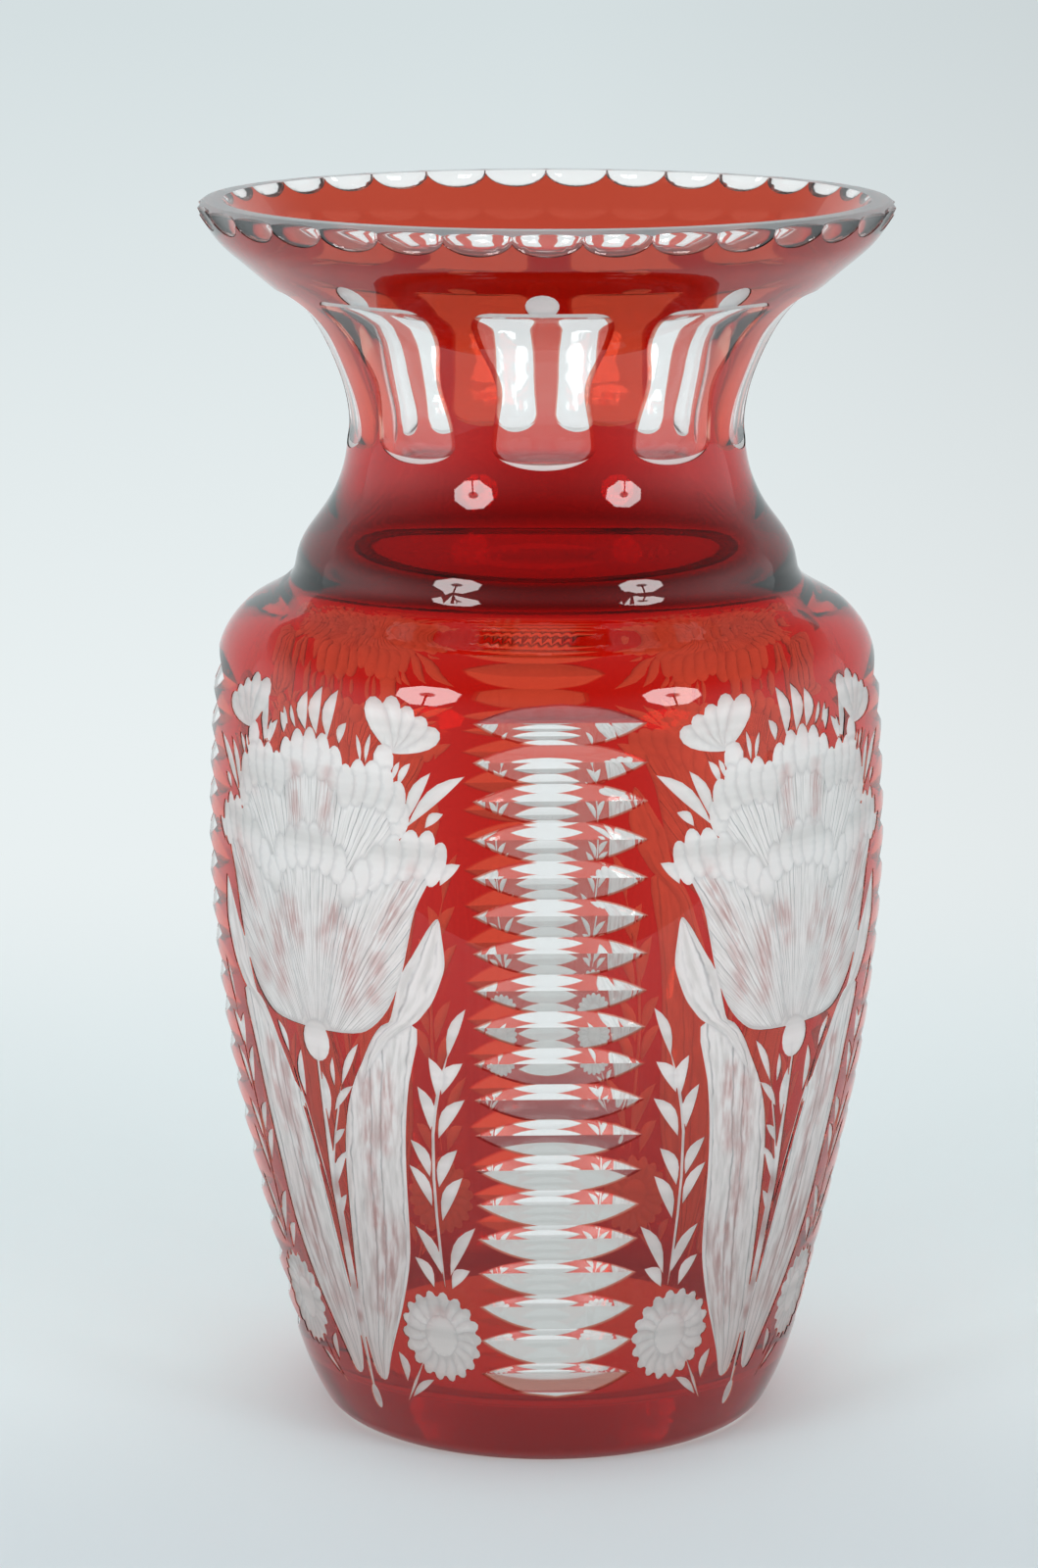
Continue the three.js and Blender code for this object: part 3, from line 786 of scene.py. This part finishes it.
def engraving(vertices, motifs, borders):
    """Depth of the engraving at each point. A touch sinks from its border by an exponential down to its
    own depth, from no deeper than a broad touch, so that a ridge is left between two touches."""
    depth = np.zeros(len(vertices))
    for (name, outline, _), border in zip(motifs, borders):
        near = ((vertices > outline.min(0) - 0.01) & (vertices < outline.max(0) + 0.01)).all(1)
        near = np.flatnonzero(near)
        gap = edge_distance(vertices[near], border)
        reached = inside(vertices[near], outline) | (gap < 0.001)
        near, gap = near[reached], gap[reached]
        sunk = engraved_depth[name] * (1 - np.exp(-gap / seat_depth))
        depth[near] = np.minimum(depth[near], engraved_depth[FIELD]) + sunk
    return depth


def flat_sector(half, low, high, sides, cut, edges, lines, motifs, spacing):
    """One sector of the wall: its flat mesh, what each face is, which touch owns it, how deep each point
    is engraved, and marks at each face's corners: grain is the number of the wheel line there, thin how
    lightly the wheel brushed it, and edge how strongly painted shade darkens it at a touch's border.
    Edges are pairs of closed outlines, on the wall and at the ruby's back, and lines are paths that only
    the mesh follows."""
    outlines = [outline for _, outline, _ in motifs]
    borders = [np.concatenate([outline, outline[:1]]) for outline in outlines]
    wall, fine = (honeycomb(half, low, high, gap) for gap in (spacing, matte_spacing))
    loose = np.concatenate([wall[~in_any(wall, outlines)], fine[in_any(fine, outlines)]])
    loose = loose[cut(*loose.T) <= ruby_thickness] if len(edges) > 1 else loose
    vertices, faces = triangulate(half, low, high, sides, borders + lines, loose)
    middle = vertices[faces].mean(1)
    kind, owner = np.full(len(faces), RUBY), np.zeros(len(faces), int)
    grain = np.zeros(faces.shape)
    for i, (_, outline, wheel_lines) in enumerate(motifs):
        own = inside(middle, outline)
        kind[own], owner[own] = MATTE, i + 1
        grain[own] = wheel_lines(*np.moveaxis(vertices[faces[own]], 2, 0))
    for wall_edge, back_edge in edges:
        kind[inside(middle, wall_edge) & (kind == RUBY)] = WEDGE
        kind[inside(middle, back_edge) & (kind == WEDGE)] = CUT
    kind[middle[:, 1] > rim_height] = RIM
    lowest, highest = np.full(len(vertices), len(motifs)), np.zeros(len(vertices), int)
    np.minimum.at(lowest, faces, owner[:, None])
    np.maximum.at(highest, faces, owner[:, None])
    # painted shade along the border between two touches, fainter where a touch meets the ruby
    edge = np.where(lowest == highest, 0, np.where(lowest > 0, touch_border_shade, ruby_border_shade))
    half_panel = np.abs(vertices * [1, 0]) + vertices * [0, 1]
    brushed = [(edge_distance(half_panel, np.array(path)) / width) ** 2 for path, width in brushed_paths]
    return {
        "vertices": vertices, "faces": faces, "kind": kind, "owner": owner, "cut": cut,
        "engraved": engraving(vertices, motifs, borders),
        "grain": grain, "thin": np.exp(-np.array(brushed)).sum(0)[faces], "edge": edge[faces],
    }


def crease(outline, v):
    """A level line from a column's edge to its middle, at a groove or ridge."""
    return np.stack([np.linspace(outline, column_turn, 4), np.full(4, v)], 1)


def past_middle(outline):
    """A column's edge, closed a degree past the column's middle."""
    return np.concatenate([outline, [[column_turn + 1, outline[-1, 1]], [column_turn + 1, outline[0, 1]]]])


def across_sector(half, v, count):
    """A level line of a number of points, from one side of a sector to the other."""
    return np.stack([np.linspace(-half, half, count), np.full(count, v)], 1)


column_wall, column_back = column_outlines()
column_lines = [column_wall, column_back]
column_lines += [crease(np.interp(v, *column_wall.T[::-1]), v) for v in fold_z[1:-1]]
panel_sides = [
    column_wall[[0, -1], 1], column_back[[0, -1], 1], fold_z[1:-1], np.arange(2.5, column_foot - 1, 2),
    np.arange(column_top + 1.5, ring_shoulder - 1, 1.5),
]
panel = flat_sector(
    column_turn, ring_low, ring_shoulder, np.concatenate(panel_sides), column_cut,
    [(past_middle(column_wall) * side, past_middle(column_back) * side) for side in ([1, 1], [-1, 1])],
    column_lines + [mirrored(line) for line in column_lines], panel_motifs(), wall_spacing,
)
window_wall_edge, window_back = window_outlines()
ledge = window_top - window_wall
neck = flat_sector(
    44 * step, ring_shoulder, ring_flare, np.arange(ring_shoulder + 2.2, ring_flare - 1, 2.2),
    window_cut, [(window_wall_edge, window_back)],
    [np.concatenate([outline, outline[:1]]) for outline in (window_wall_edge, window_back)]
    + [across_sector(float(window_edge(ledge)), ledge, 14)],
    neck_motifs(), wall_spacing,
)
hollow_wall, hollow_back = hollow_outline(0), hollow_outline(ruby_thickness)
hollow_lid = [[hollow_half + 0.1, rim_height], [-hollow_half - 0.1, rim_height]]
rim = flat_sector(
    hollow_half, ring_flare, ring_top,
    [290, 292, 294, 295.5, hollow_wall[0, 1], hollow_back[0, 1], rim_height, rim_height + 1.3],
    hollow_cut, [(np.concatenate([hollow_wall, hollow_lid]), np.concatenate([hollow_back, hollow_lid]))],
    [hollow_wall, hollow_back, across_sector(hollow_half, rim_height, 17)], [], rim_spacing,
)


def unit(vectors):
    """Vectors scaled to length 1."""
    return vectors / np.maximum(np.linalg.norm(vectors, axis=-1, keepdims=True), 1e-12)


def corner_normals(depth, corners):
    """Normals at face corners of the surface at a depth that varies, from the cross product of its
    slopes around and up. Each corner is first moved a little way into its face, so that two faces
    beside a crease keep their own."""
    a, v = (corners * 0.94 + corners.mean(1, keepdims=True) * 0.06).transpose(2, 0, 1)
    small = 0.004
    ahead, behind = (place(v, depth(a + s, v)) for s in (small, -small))
    above, below = (place(v + s, depth(a, v + s)) for s in (small, -small))
    r = place(v, depth(a, v))[0]
    r_a, z_a = (np.subtract(*pair) / (2 * math.radians(small)) for pair in zip(ahead, behind))
    r_v, z_v = (np.subtract(*pair) / (2 * small) for pair in zip(above, below))
    return unit(np.stack([r * z_v, z_a * r_v - r_a * z_v, -r * r_v], -1))


def wrap(sectors):
    """All copies of the flat sectors as one wall. A copy stands at its own middle's angle, and a side of
    -1 mirrors it and turns its faces. Points that share an angle and a height are merged. The wall has
    arrays by point (turn, v and the depths), by face (what it is), and by face corner: its marks, and
    its normals outwards, around and up, bare where nothing is cut and ground where the cuts are."""
    parts = []
    count = owners = 0
    for sector, middles, sides in sectors:
        corners = sector["vertices"][sector["faces"]]
        depths = {
            "bare": lambda a, v: 0 * a,
            "ground": lambda a, v: np.maximum(sector["cut"](a, v), np.where(v > rim_height, fused_depth, 0)),
        }
        normals = {name: corner_normals(depth, corners) for name, depth in depths.items()}
        a, v = sector["vertices"].T
        for middle, side in zip(middles, sides):
            order = [0, 1, 2] if side > 0 else [0, 2, 1]
            parts.append({
                "turn": middle + side * a, "v": v, "cut": np.maximum(sector["cut"](a, v), 0),
                "engraved": sector["engraved"], "kind": sector["kind"], "owner": sector["owner"] + owners,
                "faces": sector["faces"][:, order] + count,
                **{name: (part * [1, side, 1])[:, order] for name, part in normals.items()},
                **{name: sector[name][:, order] for name in corner_marks},
            })
            count += len(a)
            owners += sector["owner"].max() + 1
    wall = {name: np.concatenate([part[name] for part in parts]) for name in parts[0]}
    keys = np.stack([np.round((wall["turn"] % 360) * 1e4) % 3600000, np.round(wall["v"] * 1e4)], 1)
    _, first, merged = np.unique(keys, axis=0, return_index=True, return_inverse=True)
    for name in ("turn", "v", "cut", "engraved"):
        wall[name] = wall[name][first]
    wall["faces"] = merged.reshape(-1)[wall["faces"]]
    return wall


wall = wrap([
    (panel, column_turn * np.array([1, -1, 3, 5]), [-1, 1, 1, -1]),
    (neck, window_turn + 360 / window_count * np.arange(window_count), [1] * window_count),
    (rim, hollow_turn + 2 * hollow_half * np.arange(hollow_count), [1] * hollow_count),
])


def wrapped(turn, r, z):
    """Points in metres from an angle in degrees from the front, a radius and a height in mm."""
    turn = np.radians(turn)
    return np.stack([r * np.sin(turn), -r * np.cos(turn), z], -1) * MM


def turned(normals, turn):
    """Normals given outwards, around and up, turned to where they stand on the vase."""
    turn = np.radians(turn)[..., None]
    outwards = np.concatenate([np.sin(turn), -np.cos(turn), 0 * turn], -1)
    around = np.concatenate([np.cos(turn), np.sin(turn), 0 * turn], -1)
    return normals[..., :1] * outwards + normals[..., 1:2] * around + normals[..., 2:] * [0, 0, 1]


def face_normals(points, faces):
    """Each triangle's normal, as long as twice its area."""
    a, b, c = points[faces].transpose(1, 0, 2)
    return np.cross(b - a, c - a)


def smooth_normals(points, faces, group):
    """Corner normals: the sum of the normals of all faces of one group that meet at a point."""
    normals = face_normals(points, faces)
    keys, where = np.unique(faces + group[:, None] * len(points), return_inverse=True)
    total = np.stack([np.bincount(where.reshape(-1), np.repeat(n, 3), len(keys)) for n in normals.T], 1)
    return unit(total[where.reshape(faces.shape)])


def glass_piece(name, points, faces, material_index, normals, materials):
    """A closed mesh object with a material to each face and a normal of its own at each corner."""
    piece = sheet_mesh(name, points, faces)
    for material in materials:
        piece.data.materials.append(material)
    piece.data.polygons.foreach_set("material_index", material_index.astype(np.int32))
    piece.data.polygons.foreach_set("use_smooth", np.ones(len(faces), bool))
    piece.data.normals_split_custom_set(normals.reshape(-1, 3).tolist())
    return piece


# Crystal body: clear lead crystal, blown thick and heavy at the base, with a ground flat to stand on,
# a smooth fire-polished hollow and a polished rim. Cut faces and engraving reach into it.
rim_inner_edge = (77.8, top_height)
hollow_outline_points = [
    (77.0, 299.2), (70.4, 290.6), (59.4, 280.4), (49.6, 270.8), (44.6, 260), (42.1, 247), (43.6, 234),
    (48.9, 222), (55.6, 210), (66.6, 198.6), (73.4, 188.6), (75.4, 178), (76.4, 145), (73.6, 105), (67.4, 65),
    (58.6, 32), (53.2, 18), (51.6, 16.2), (48, 15.05),
]
floor_height = 15.0
floor_rings = [36.0, 18.0]
base_rings = np.array([52.2, 49.0, 30.0])
columns = 264  # points round the hollow and the base, a third of those round the wall
faces_passed, joints_passed = 48, 32  # how many faces of glass, and how many fused joints, a ray goes through


def inner_profile():
    """The hollow's outline as two splines over the length along it, then the floor to the middle."""
    points = np.array(hollow_outline_points)
    run = np.append(0, np.cumsum(np.hypot(*np.diff(points, axis=0).T)))
    at = np.unique(np.concatenate([np.linspace(0, run[-4], 62), np.linspace(run[-4], run[-1], 9)]))
    profile = np.stack([smooth(run, points[:, 0])(at), smooth(run, points[:, 1])(at)], 1)
    return np.concatenate([[rim_inner_edge], profile, [(r, floor_height) for r in floor_rings]]).T


def rings(r, z):
    """A surface of revolution as rows of points, and its quads as triangles that face the axis where
    the profile runs downwards."""
    i = np.arange(columns)
    points = wrapped(i * 360 / columns + 0 * r[:, None], r[:, None], z[:, None] + 0 * i).reshape(-1, 3)
    upper = np.arange(len(r) - 1)[:, None] * columns + np.stack([i, (i + 1) % columns])[:, None]
    (near, far), (below, far_below) = upper, upper + columns
    faces = [np.stack([near, far, below], -1), np.stack([far, far_below, below], -1)]
    return points, np.concatenate(faces).reshape(-1, 3)


def join_rings(many, few):
    """Triangles between a ring of three times as many points and a ring of few, the many outside and
    seen from above: each stretch of few gets a fan of four."""
    i = np.arange(len(few))
    a, b, c, d = (many[(3 * i + k) % len(many)] for k in range(4))
    near, far = few, few[(i + 1) % len(few)]
    fans = (a, b, near), (b, far, near), (b, c, far), (c, d, far)
    return np.concatenate([np.stack(corners, 1) for corners in fans])


def to_middle(middle):
    """Triangles from each stretch of a ring to its middle, the point that comes right after it."""
    i = np.arange(columns)
    return middle + np.stack([i - columns, (i + 1) % columns - columns, 0 * i], 1)


def ring_at(v):
    """The wall's points on one of its level rings, in order round the vase from the front."""
    on_ring = np.flatnonzero(np.abs(wall["v"] - v) < 1e-3)
    return on_ring[np.argsort(np.round(wall["turn"][on_ring] % 360, 4) % 360)]


def crystal_mesh():
    """The wall's inner layer, the flat rim, the hollow and the base, joined into one closed mesh. Its
    corner normals are the ground wall's on cuts, the bare wall's on ruby, and the mesh's own elsewhere."""
    depth = np.maximum(wall["cut"], fused_depth) + wall["engraved"]
    wall_points = wrapped(wall["turn"], *place(wall["v"], depth))
    ground = np.isin(wall["kind"], (CUT, RIM))[:, None, None]
    wall_normals = turned(np.where(ground, wall["ground"], wall["bare"]), wall["turn"][wall["faces"]])
    matte = wall["kind"] == MATTE
    wall_normals[matte] = smooth_normals(wall_points, wall["faces"][matte], wall["owner"][matte])
    hollow_points, hollow_faces = rings(*inner_profile())
    base_points, base_faces = rings(base_rings, 0 * base_rings)
    hollow, base = len(wall_points), len(wall_points) + len(hollow_points) + 1
    points = np.concatenate([
        wall_points, hollow_points, [[0, 0, floor_height * MM]], base_points, [[0, 0, 0]],
    ])
    i = np.arange(columns)
    added = [
        (RIM, join_rings(ring_at(ring_top), hollow + i)), (HOLLOW, hollow_faces + hollow),
        (HOLLOW, to_middle(base - 1)), (HEEL, join_rings(ring_at(ring_low), base + i)[:, ::-1]),
        (BASE, base_faces[:, ::-1] + base), (BASE, to_middle(base + len(base_points))[:, [0, 2, 1]]),
    ]
    faces = np.concatenate([part for _, part in added])
    kind = np.concatenate([np.full(len(part), name) for name, part in added])
    normals = np.concatenate([wall_normals, smooth_normals(points, faces, kind)])
    return points, np.concatenate([wall["faces"], faces]), np.concatenate([wall["kind"], kind]), normals


crystal_points, crystal_faces, crystal_kind, crystal_normals = crystal_mesh()


def let_lamps_through(material, surface, tint):
    """Gives a glass its surface, and on a shadow's way a clear tint in its place, so that the lamps
    light what stands inside and behind it."""
    ray = node(material, "LightPath")
    tinted = node(material, "BsdfTransparent", {"Color": tint})
    either = node(material, "MixShader", [ray.outputs["Is Shadow Ray"], surface, tinted])
    node(material, "OutputMaterial", {"Surface": either})


# polished lead crystal: colourless and bright, with the faint waves that felt wheels leave
crystal_ior = 1.55
crystal_shadow = linear("#F4F8F8")
polish_wave, polish_depth = 11 * MM, 0.008 * MM
polished_crystal = new_material("polished_lead_crystal")
spot = node(polished_crystal, "TexCoord").outputs["Object"]
waves = node(polished_crystal, "TexNoise", {"Vector": spot, "Scale": 1 / polish_wave, "Detail": 1.0})
ripple = node(polished_crystal, "Bump", {"Height": waves, "Strength": 1.0, "Distance": polish_depth})
clear = node(polished_crystal, "BsdfPrincipled", {
    "Base Color": linear("#FBFDFD"), "Roughness": 0.0, "IOR": crystal_ior, "Transmission Weight": 1.0,
    "Normal": ripple,
})
let_lamps_through(polished_crystal, clear, crystal_shadow)

# cut crystal: ground with mitre and flat wheels and polished in acid, which leaves a trace of white haze
cut_crystal = new_material("acid_polished_cut_crystal")
hazy = node(cut_crystal, "BsdfPrincipled", {
    "Base Color": linear("#FBFCFD"), "Roughness": 0.0, "IOR": crystal_ior, "Transmission Weight": 0.91,
})
let_lamps_through(cut_crystal, hazy, crystal_shadow)

# ground rim: the mouth is ground flat and bevelled on a wheel and only half polished, so it is satin
rim_grit, rim_grit_depth = 0.6 * MM, 0.02 * MM  # coarser than the real grit, so that it shows
satin_rim = new_material("satin_ground_rim")
spot = node(satin_rim, "TexCoord").outputs["Object"]
grit = node(satin_rim, "TexNoise", {"Vector": spot, "Scale": 1 / rim_grit, "Detail": 2.0})
worn = node(satin_rim, "Bump", {"Height": grit, "Strength": 1.0, "Distance": rim_grit_depth})
satin = node(satin_rim, "BsdfPrincipled", {
    "Base Color": linear("#EEF3F5"), "Roughness": 0.28, "IOR": crystal_ior, "Transmission Weight": 0.7,
    "Normal": worn,
})
node(satin_rim, "OutputMaterial", {"Surface": satin})

# engraved crystal: ground matte by stone wheels, white where the grit has broken the surface. Along a
# touch run darker scratches and grey streaks of painted shade, painted shade darkens each touch's border,
# and where the wheel only brushed it the ruby is left as a pink flash. From inside it is clearer than
# from outside, so that the far panels glow through
grit_size, grit_depth = 0.5 * MM, 0.06 * MM  # coarser than the real grit, so that it shows
press_size = 5 * MM  # how far apart the wheel was pressed harder and softer
press_sway, press_weight = 0.5, 1.4  # how far harder pressing moves a scratch, in spacings, and darkens it
scratch_half = 0.02, 0.13  # in spacings, from the scratch's middle to where it has faded
scratch_band = 0.7, 1.5  # pressing and chance together, from the first scratch that shows to the darkest
scratch_relief = -1.2  # in grains of grit
# how dark the painted shade along a touch's border is
painted_border_shade = 0.34
streak_length, streaks_across = 9 * MM, 2.2  # the second to each wheel line
# the first band: where the streak noise turns to grey painted shade; the second: where it turns to pink flash
streak_shade_band, flash_band = (0.42, 0.64), (0.6, 0.95)
low_band = 25 * MM, 100 * MM, 0.8, 0.0  # towards the foot the panel is greyer
clear_band, clear_from_inside = (0.38, 0.58), 0.85
frosted, scratched, flashed = linear("#FCFDFC"), linear("#B4B9BC"), linear("#DDB0AE")
painted_streak_shade, low_tone, matte_shadow = linear("#E6E7E6"), linear("#D2C8C6"), linear("#C9CDCE")
matte_crystal = new_material("wheel_engraved_crystal")
spot = node(matte_crystal, "TexCoord").outputs["Object"]
grit = node(matte_crystal, "TexNoise", {"Vector": spot, "Scale": 1 / grit_size, "Detail": 2.0})
press = node(matte_crystal, "TexNoise", {"Vector": spot, "Scale": 1 / press_size, "Detail": 2.0})
grain, thin, edge = (
    node(matte_crystal, "Attribute", attribute_name=mark).outputs["Fac"] for mark in corner_marks
)
number = node(matte_crystal, "Math", [press, press_sway, grain], operation="MULTIPLY_ADD")
number = node(matte_crystal, "Math", [number, -press_sway / 2], operation="ADD")
share = node(matte_crystal, "Math", [number], operation="FRACT")
share = node(matte_crystal, "Math", [share, -0.5], operation="ADD")
share = node(matte_crystal, "Math", [share], operation="ABSOLUTE")
scratch = node(matte_crystal, "MapRange", [share, *scratch_half, 1.0, 0.0])
whole = node(matte_crystal, "Math", [number], operation="FLOOR")
chance = node(matte_crystal, "TexWhiteNoise", {"W": whole}, noise_dimensions="1D")
pressed = node(matte_crystal, "Math", [press, press_weight, chance], operation="MULTIPLY_ADD")
pressed = node(matte_crystal, "MapRange", [pressed, *scratch_band])
scratch = node(matte_crystal, "Math", [scratch, pressed], operation="MULTIPLY")
relief = node(matte_crystal, "Math", [scratch, scratch_relief, grit], operation="MULTIPLY_ADD")
rough = node(matte_crystal, "Bump", {"Height": relief, "Strength": 1.0, "Distance": grit_depth})
# painted shade along each touch's border, from the edge mark, joined with the scratches
dark = node(matte_crystal, "Math", [edge, painted_border_shade], operation="MULTIPLY")
dark = node(matte_crystal, "Math", [scratch, dark], operation="MAXIMUM")
tone = node(matte_crystal, "MixRGB", [dark, frosted, scratched])
height = node(matte_crystal, "SeparateXYZ", [spot]).outputs["Z"]
along = node(matte_crystal, "Math", [height, 1 / streak_length], operation="MULTIPLY")
across = node(matte_crystal, "Math", [grain, streaks_across], operation="MULTIPLY")
drawn = node(matte_crystal, "CombineXYZ", [across, along])
streaks = node(matte_crystal, "TexNoise", {"Vector": drawn, "Scale": 1.0, "Detail": 3.0})
flash = node(matte_crystal, "Math", [press, 0.5, streaks], operation="MULTIPLY_ADD")
flash = node(matte_crystal, "MapRange", [flash, *flash_band])
flash = node(matte_crystal, "Math", [thin, flash], operation="MULTIPLY")
tone = node(matte_crystal, "MixRGB", [flash, tone, flashed])
# painted shade: grey streaks of the noise along the wheel lines darken the tone
shaded = node(matte_crystal, "MapRange", [streaks, *streak_shade_band])
tone = node(matte_crystal, "MixRGB", [shaded, tone, painted_streak_shade], blend_type="MULTIPLY")
low_down = node(matte_crystal, "MapRange", [height, *low_band])
tone = node(matte_crystal, "MixRGB", [low_down, tone, low_tone], blend_type="MULTIPLY")
clearness = node(matte_crystal, "MapRange", [flash, 0.0, 1.0, *clear_band])
from_inside = node(matte_crystal, "NewGeometry").outputs["Backfacing"]
from_inside = node(matte_crystal, "Math", [from_inside, clear_from_inside], operation="MULTIPLY")
clearness = node(matte_crystal, "Math", [from_inside, clearness], operation="MAXIMUM")
matte = node(matte_crystal, "BsdfPrincipled", {
    "Base Color": tone, "Roughness": 0.5, "IOR": crystal_ior, "Transmission Weight": clearness,
    "Normal": rough,
})
let_lamps_through(matte_crystal, matte, matte_shadow)

# fused joint: the two glasses melted into each other, so light passes without bending
fused_crystal = new_material("fused_crystal_joint")
node(fused_crystal, "OutputMaterial", {"Surface": node(fused_crystal, "BsdfTransparent")})

finishes = {matte_crystal: [MATTE], fused_crystal: [RUBY, WEDGE], cut_crystal: [CUT], satin_rim: [RIM]}
crystal_slots = sum(i * np.isin(crystal_kind, kinds) for i, kinds in enumerate(finishes.values(), 1))
crystal = glass_piece("crystal_vase", crystal_points, crystal_faces, crystal_slots, crystal_normals,
                      [polished_crystal, *finishes])
for name in corner_marks:
    marks = np.zeros(crystal_faces.size, np.float32)
    marks[:wall[name].size] = wall[name].reshape(-1)
    crystal.data.attributes.new(name, "FLOAT", "CORNER").data.foreach_set("value", marks)
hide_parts("crystal_body")
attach(crystal, "root")

bpy.context.scene.cycles.max_bounces = faces_passed
bpy.context.scene.cycles.transmission_bounces = faces_passed
bpy.context.scene.cycles.transparent_max_bounces = joints_passed


# Ruby casing: a thin skin of gold ruby glass, gathered over the clear glass before it was blown, so it
# covers all that the wheels left. Blowing thinned it on the body and left it thick at the foot and at
# the bottom of the neck. In the neck's crease it is made thicker still as painted shade, where it looks
# darkest.
ruby_colour = np.array(linear("#E33D24")[:3])  # of what is seen through one even skin
ruby_shadow, ruby_joint = linear("#D7F9FD"), linear("#F3BCAD")
ruby_ior = 1.54
ruby_gather_and_painted_shade = [  # height in mm, and how many even skins thick the ruby is there, with painted shade added as extra skins in the neck's crease
    (0, 5.0), (12, 4.4), (22, 2.6), (34, 1.9), (55, 1.4), (80, 1.35), (207, 1.35), (209, 4.6), (211, 6.5),
    (213.5, 9.0), (216, 8.0), (218, 6.8), (224, 6.0), (228, 4.6), (233, 2.4), (240, 1.8), (247, 1.5),
    (252, 1.3), (272, 1.3), (298, 1.1),
]
ruby_painted_shade = [  # height in mm, and painted shade there: the share of the light let past the colour, darker at the foot, round the windows and at the flare
    (0, 0.72), (14, 0.8), (26, 1.0), (240, 1.0), (252, 0.84), (268, 0.76), (280, 0.54), (298, 0.5),
]


def casing_mesh():
    """The skin's outer and inner faces, and a wall between them along every edge of what is left. Its
    colour at a point is the colour of one even skin to the power of how thick the ruby is there, made
    thicker in the neck's crease as painted shade, times the painted shade at that height."""
    left = wall["kind"] < CUT
    used, where = np.unique(wall["faces"][left], return_inverse=True)
    outer = where.reshape(-1, 3)
    turn, v = wall["turn"][used], wall["v"][used]
    depth = np.minimum(wall["cut"][used], ruby_thickness - 0.02)
    points = np.concatenate([wrapped(turn, *place(v, at)) for at in (depth, np.full(len(v), ruby_thickness))])
    count = len(used)
    edges = np.concatenate([outer[:, [0, 1]], outer[:, [1, 2]], outer[:, [2, 0]]])
    code, back = edges[:, 0] * count + edges[:, 1], edges[:, 1] * count + edges[:, 0]
    a, b = edges[~np.isin(code, back)].T
    sides = np.concatenate([np.stack([b, a, a + count], 1), np.stack([b, a + count, b + count], 1)])
    faces = np.concatenate([outer, outer[:, ::-1] + count, sides])
    wedge = (wall["kind"] == WEDGE)[left][:, None, None]
    bare, ground, corner_turn = wall["bare"][left], wall["ground"][left], wall["turn"][wall["faces"][left]]
    normals = np.concatenate([
        turned(np.where(wedge, ground, bare), corner_turn), -turned(bare, corner_turn)[:, ::-1],
        np.repeat(unit(face_normals(points, sides))[:, None], 3, 1),
    ])
    slot = np.repeat([0, 1, 1], [len(outer), len(outer), len(sides)])
    # how thick the ruby is, with the crease's painted shade counted as extra skins
    thickness = (1 - depth / ruby_thickness) * np.interp(v, *np.transpose(ruby_gather_and_painted_shade))
    colour = np.ones((2 * count, 4))
    colour[:, :3] = ruby_colour ** np.tile(thickness, 2)[:, None]
    # painted shade by height: darker at the foot, round the windows and at the flare
    colour[:, :3] *= np.tile(np.interp(v, *np.transpose(ruby_painted_shade)), 2)[:, None]
    return points, faces, slot, normals, colour


ruby_points, ruby_faces, ruby_slots, ruby_normals, ruby_colour_with_painted_shade = casing_mesh()

# gold ruby glass, fire polished: deep red that lets light through, paler where a wheel has thinned it,
# and with the slow waves of blown glass
blown_wave, blown_depth = 25 * MM, 0.05 * MM
ruby_glass = new_material("polished_gold_ruby_glass")
spot = node(ruby_glass, "TexCoord").outputs["Object"]
waves = node(ruby_glass, "TexNoise", {"Vector": spot, "Scale": 1 / blown_wave, "Detail": 1.0})
ripple = node(ruby_glass, "Bump", {"Height": waves, "Strength": 1.0, "Distance": blown_depth})
red = node(ruby_glass, "Attribute", attribute_name="ruby_colour")
ruby = node(ruby_glass, "BsdfPrincipled", {
    "Base Color": red, "Roughness": 0.0, "IOR": ruby_ior, "Transmission Weight": 1.0, "Normal": ripple,
})
let_lamps_through(ruby_glass, ruby, ruby_shadow)

# back of the ruby, fused to the clear glass: it only tints what passes
ruby_back = new_material("fused_ruby_joint")
tint = node(ruby_back, "BsdfTransparent", {"Color": ruby_joint})
node(ruby_back, "OutputMaterial", {"Surface": tint})

casing = glass_piece("ruby_skin", ruby_points, ruby_faces, ruby_slots, ruby_normals, [ruby_glass, ruby_back])
shade = casing.data.attributes.new("ruby_colour", "FLOAT_COLOR", "POINT")
shade.data.foreach_set("color", ruby_colour_with_painted_shade.astype(np.float32).reshape(-1))
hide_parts("ruby_casing")
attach(casing, "root")

low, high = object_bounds()
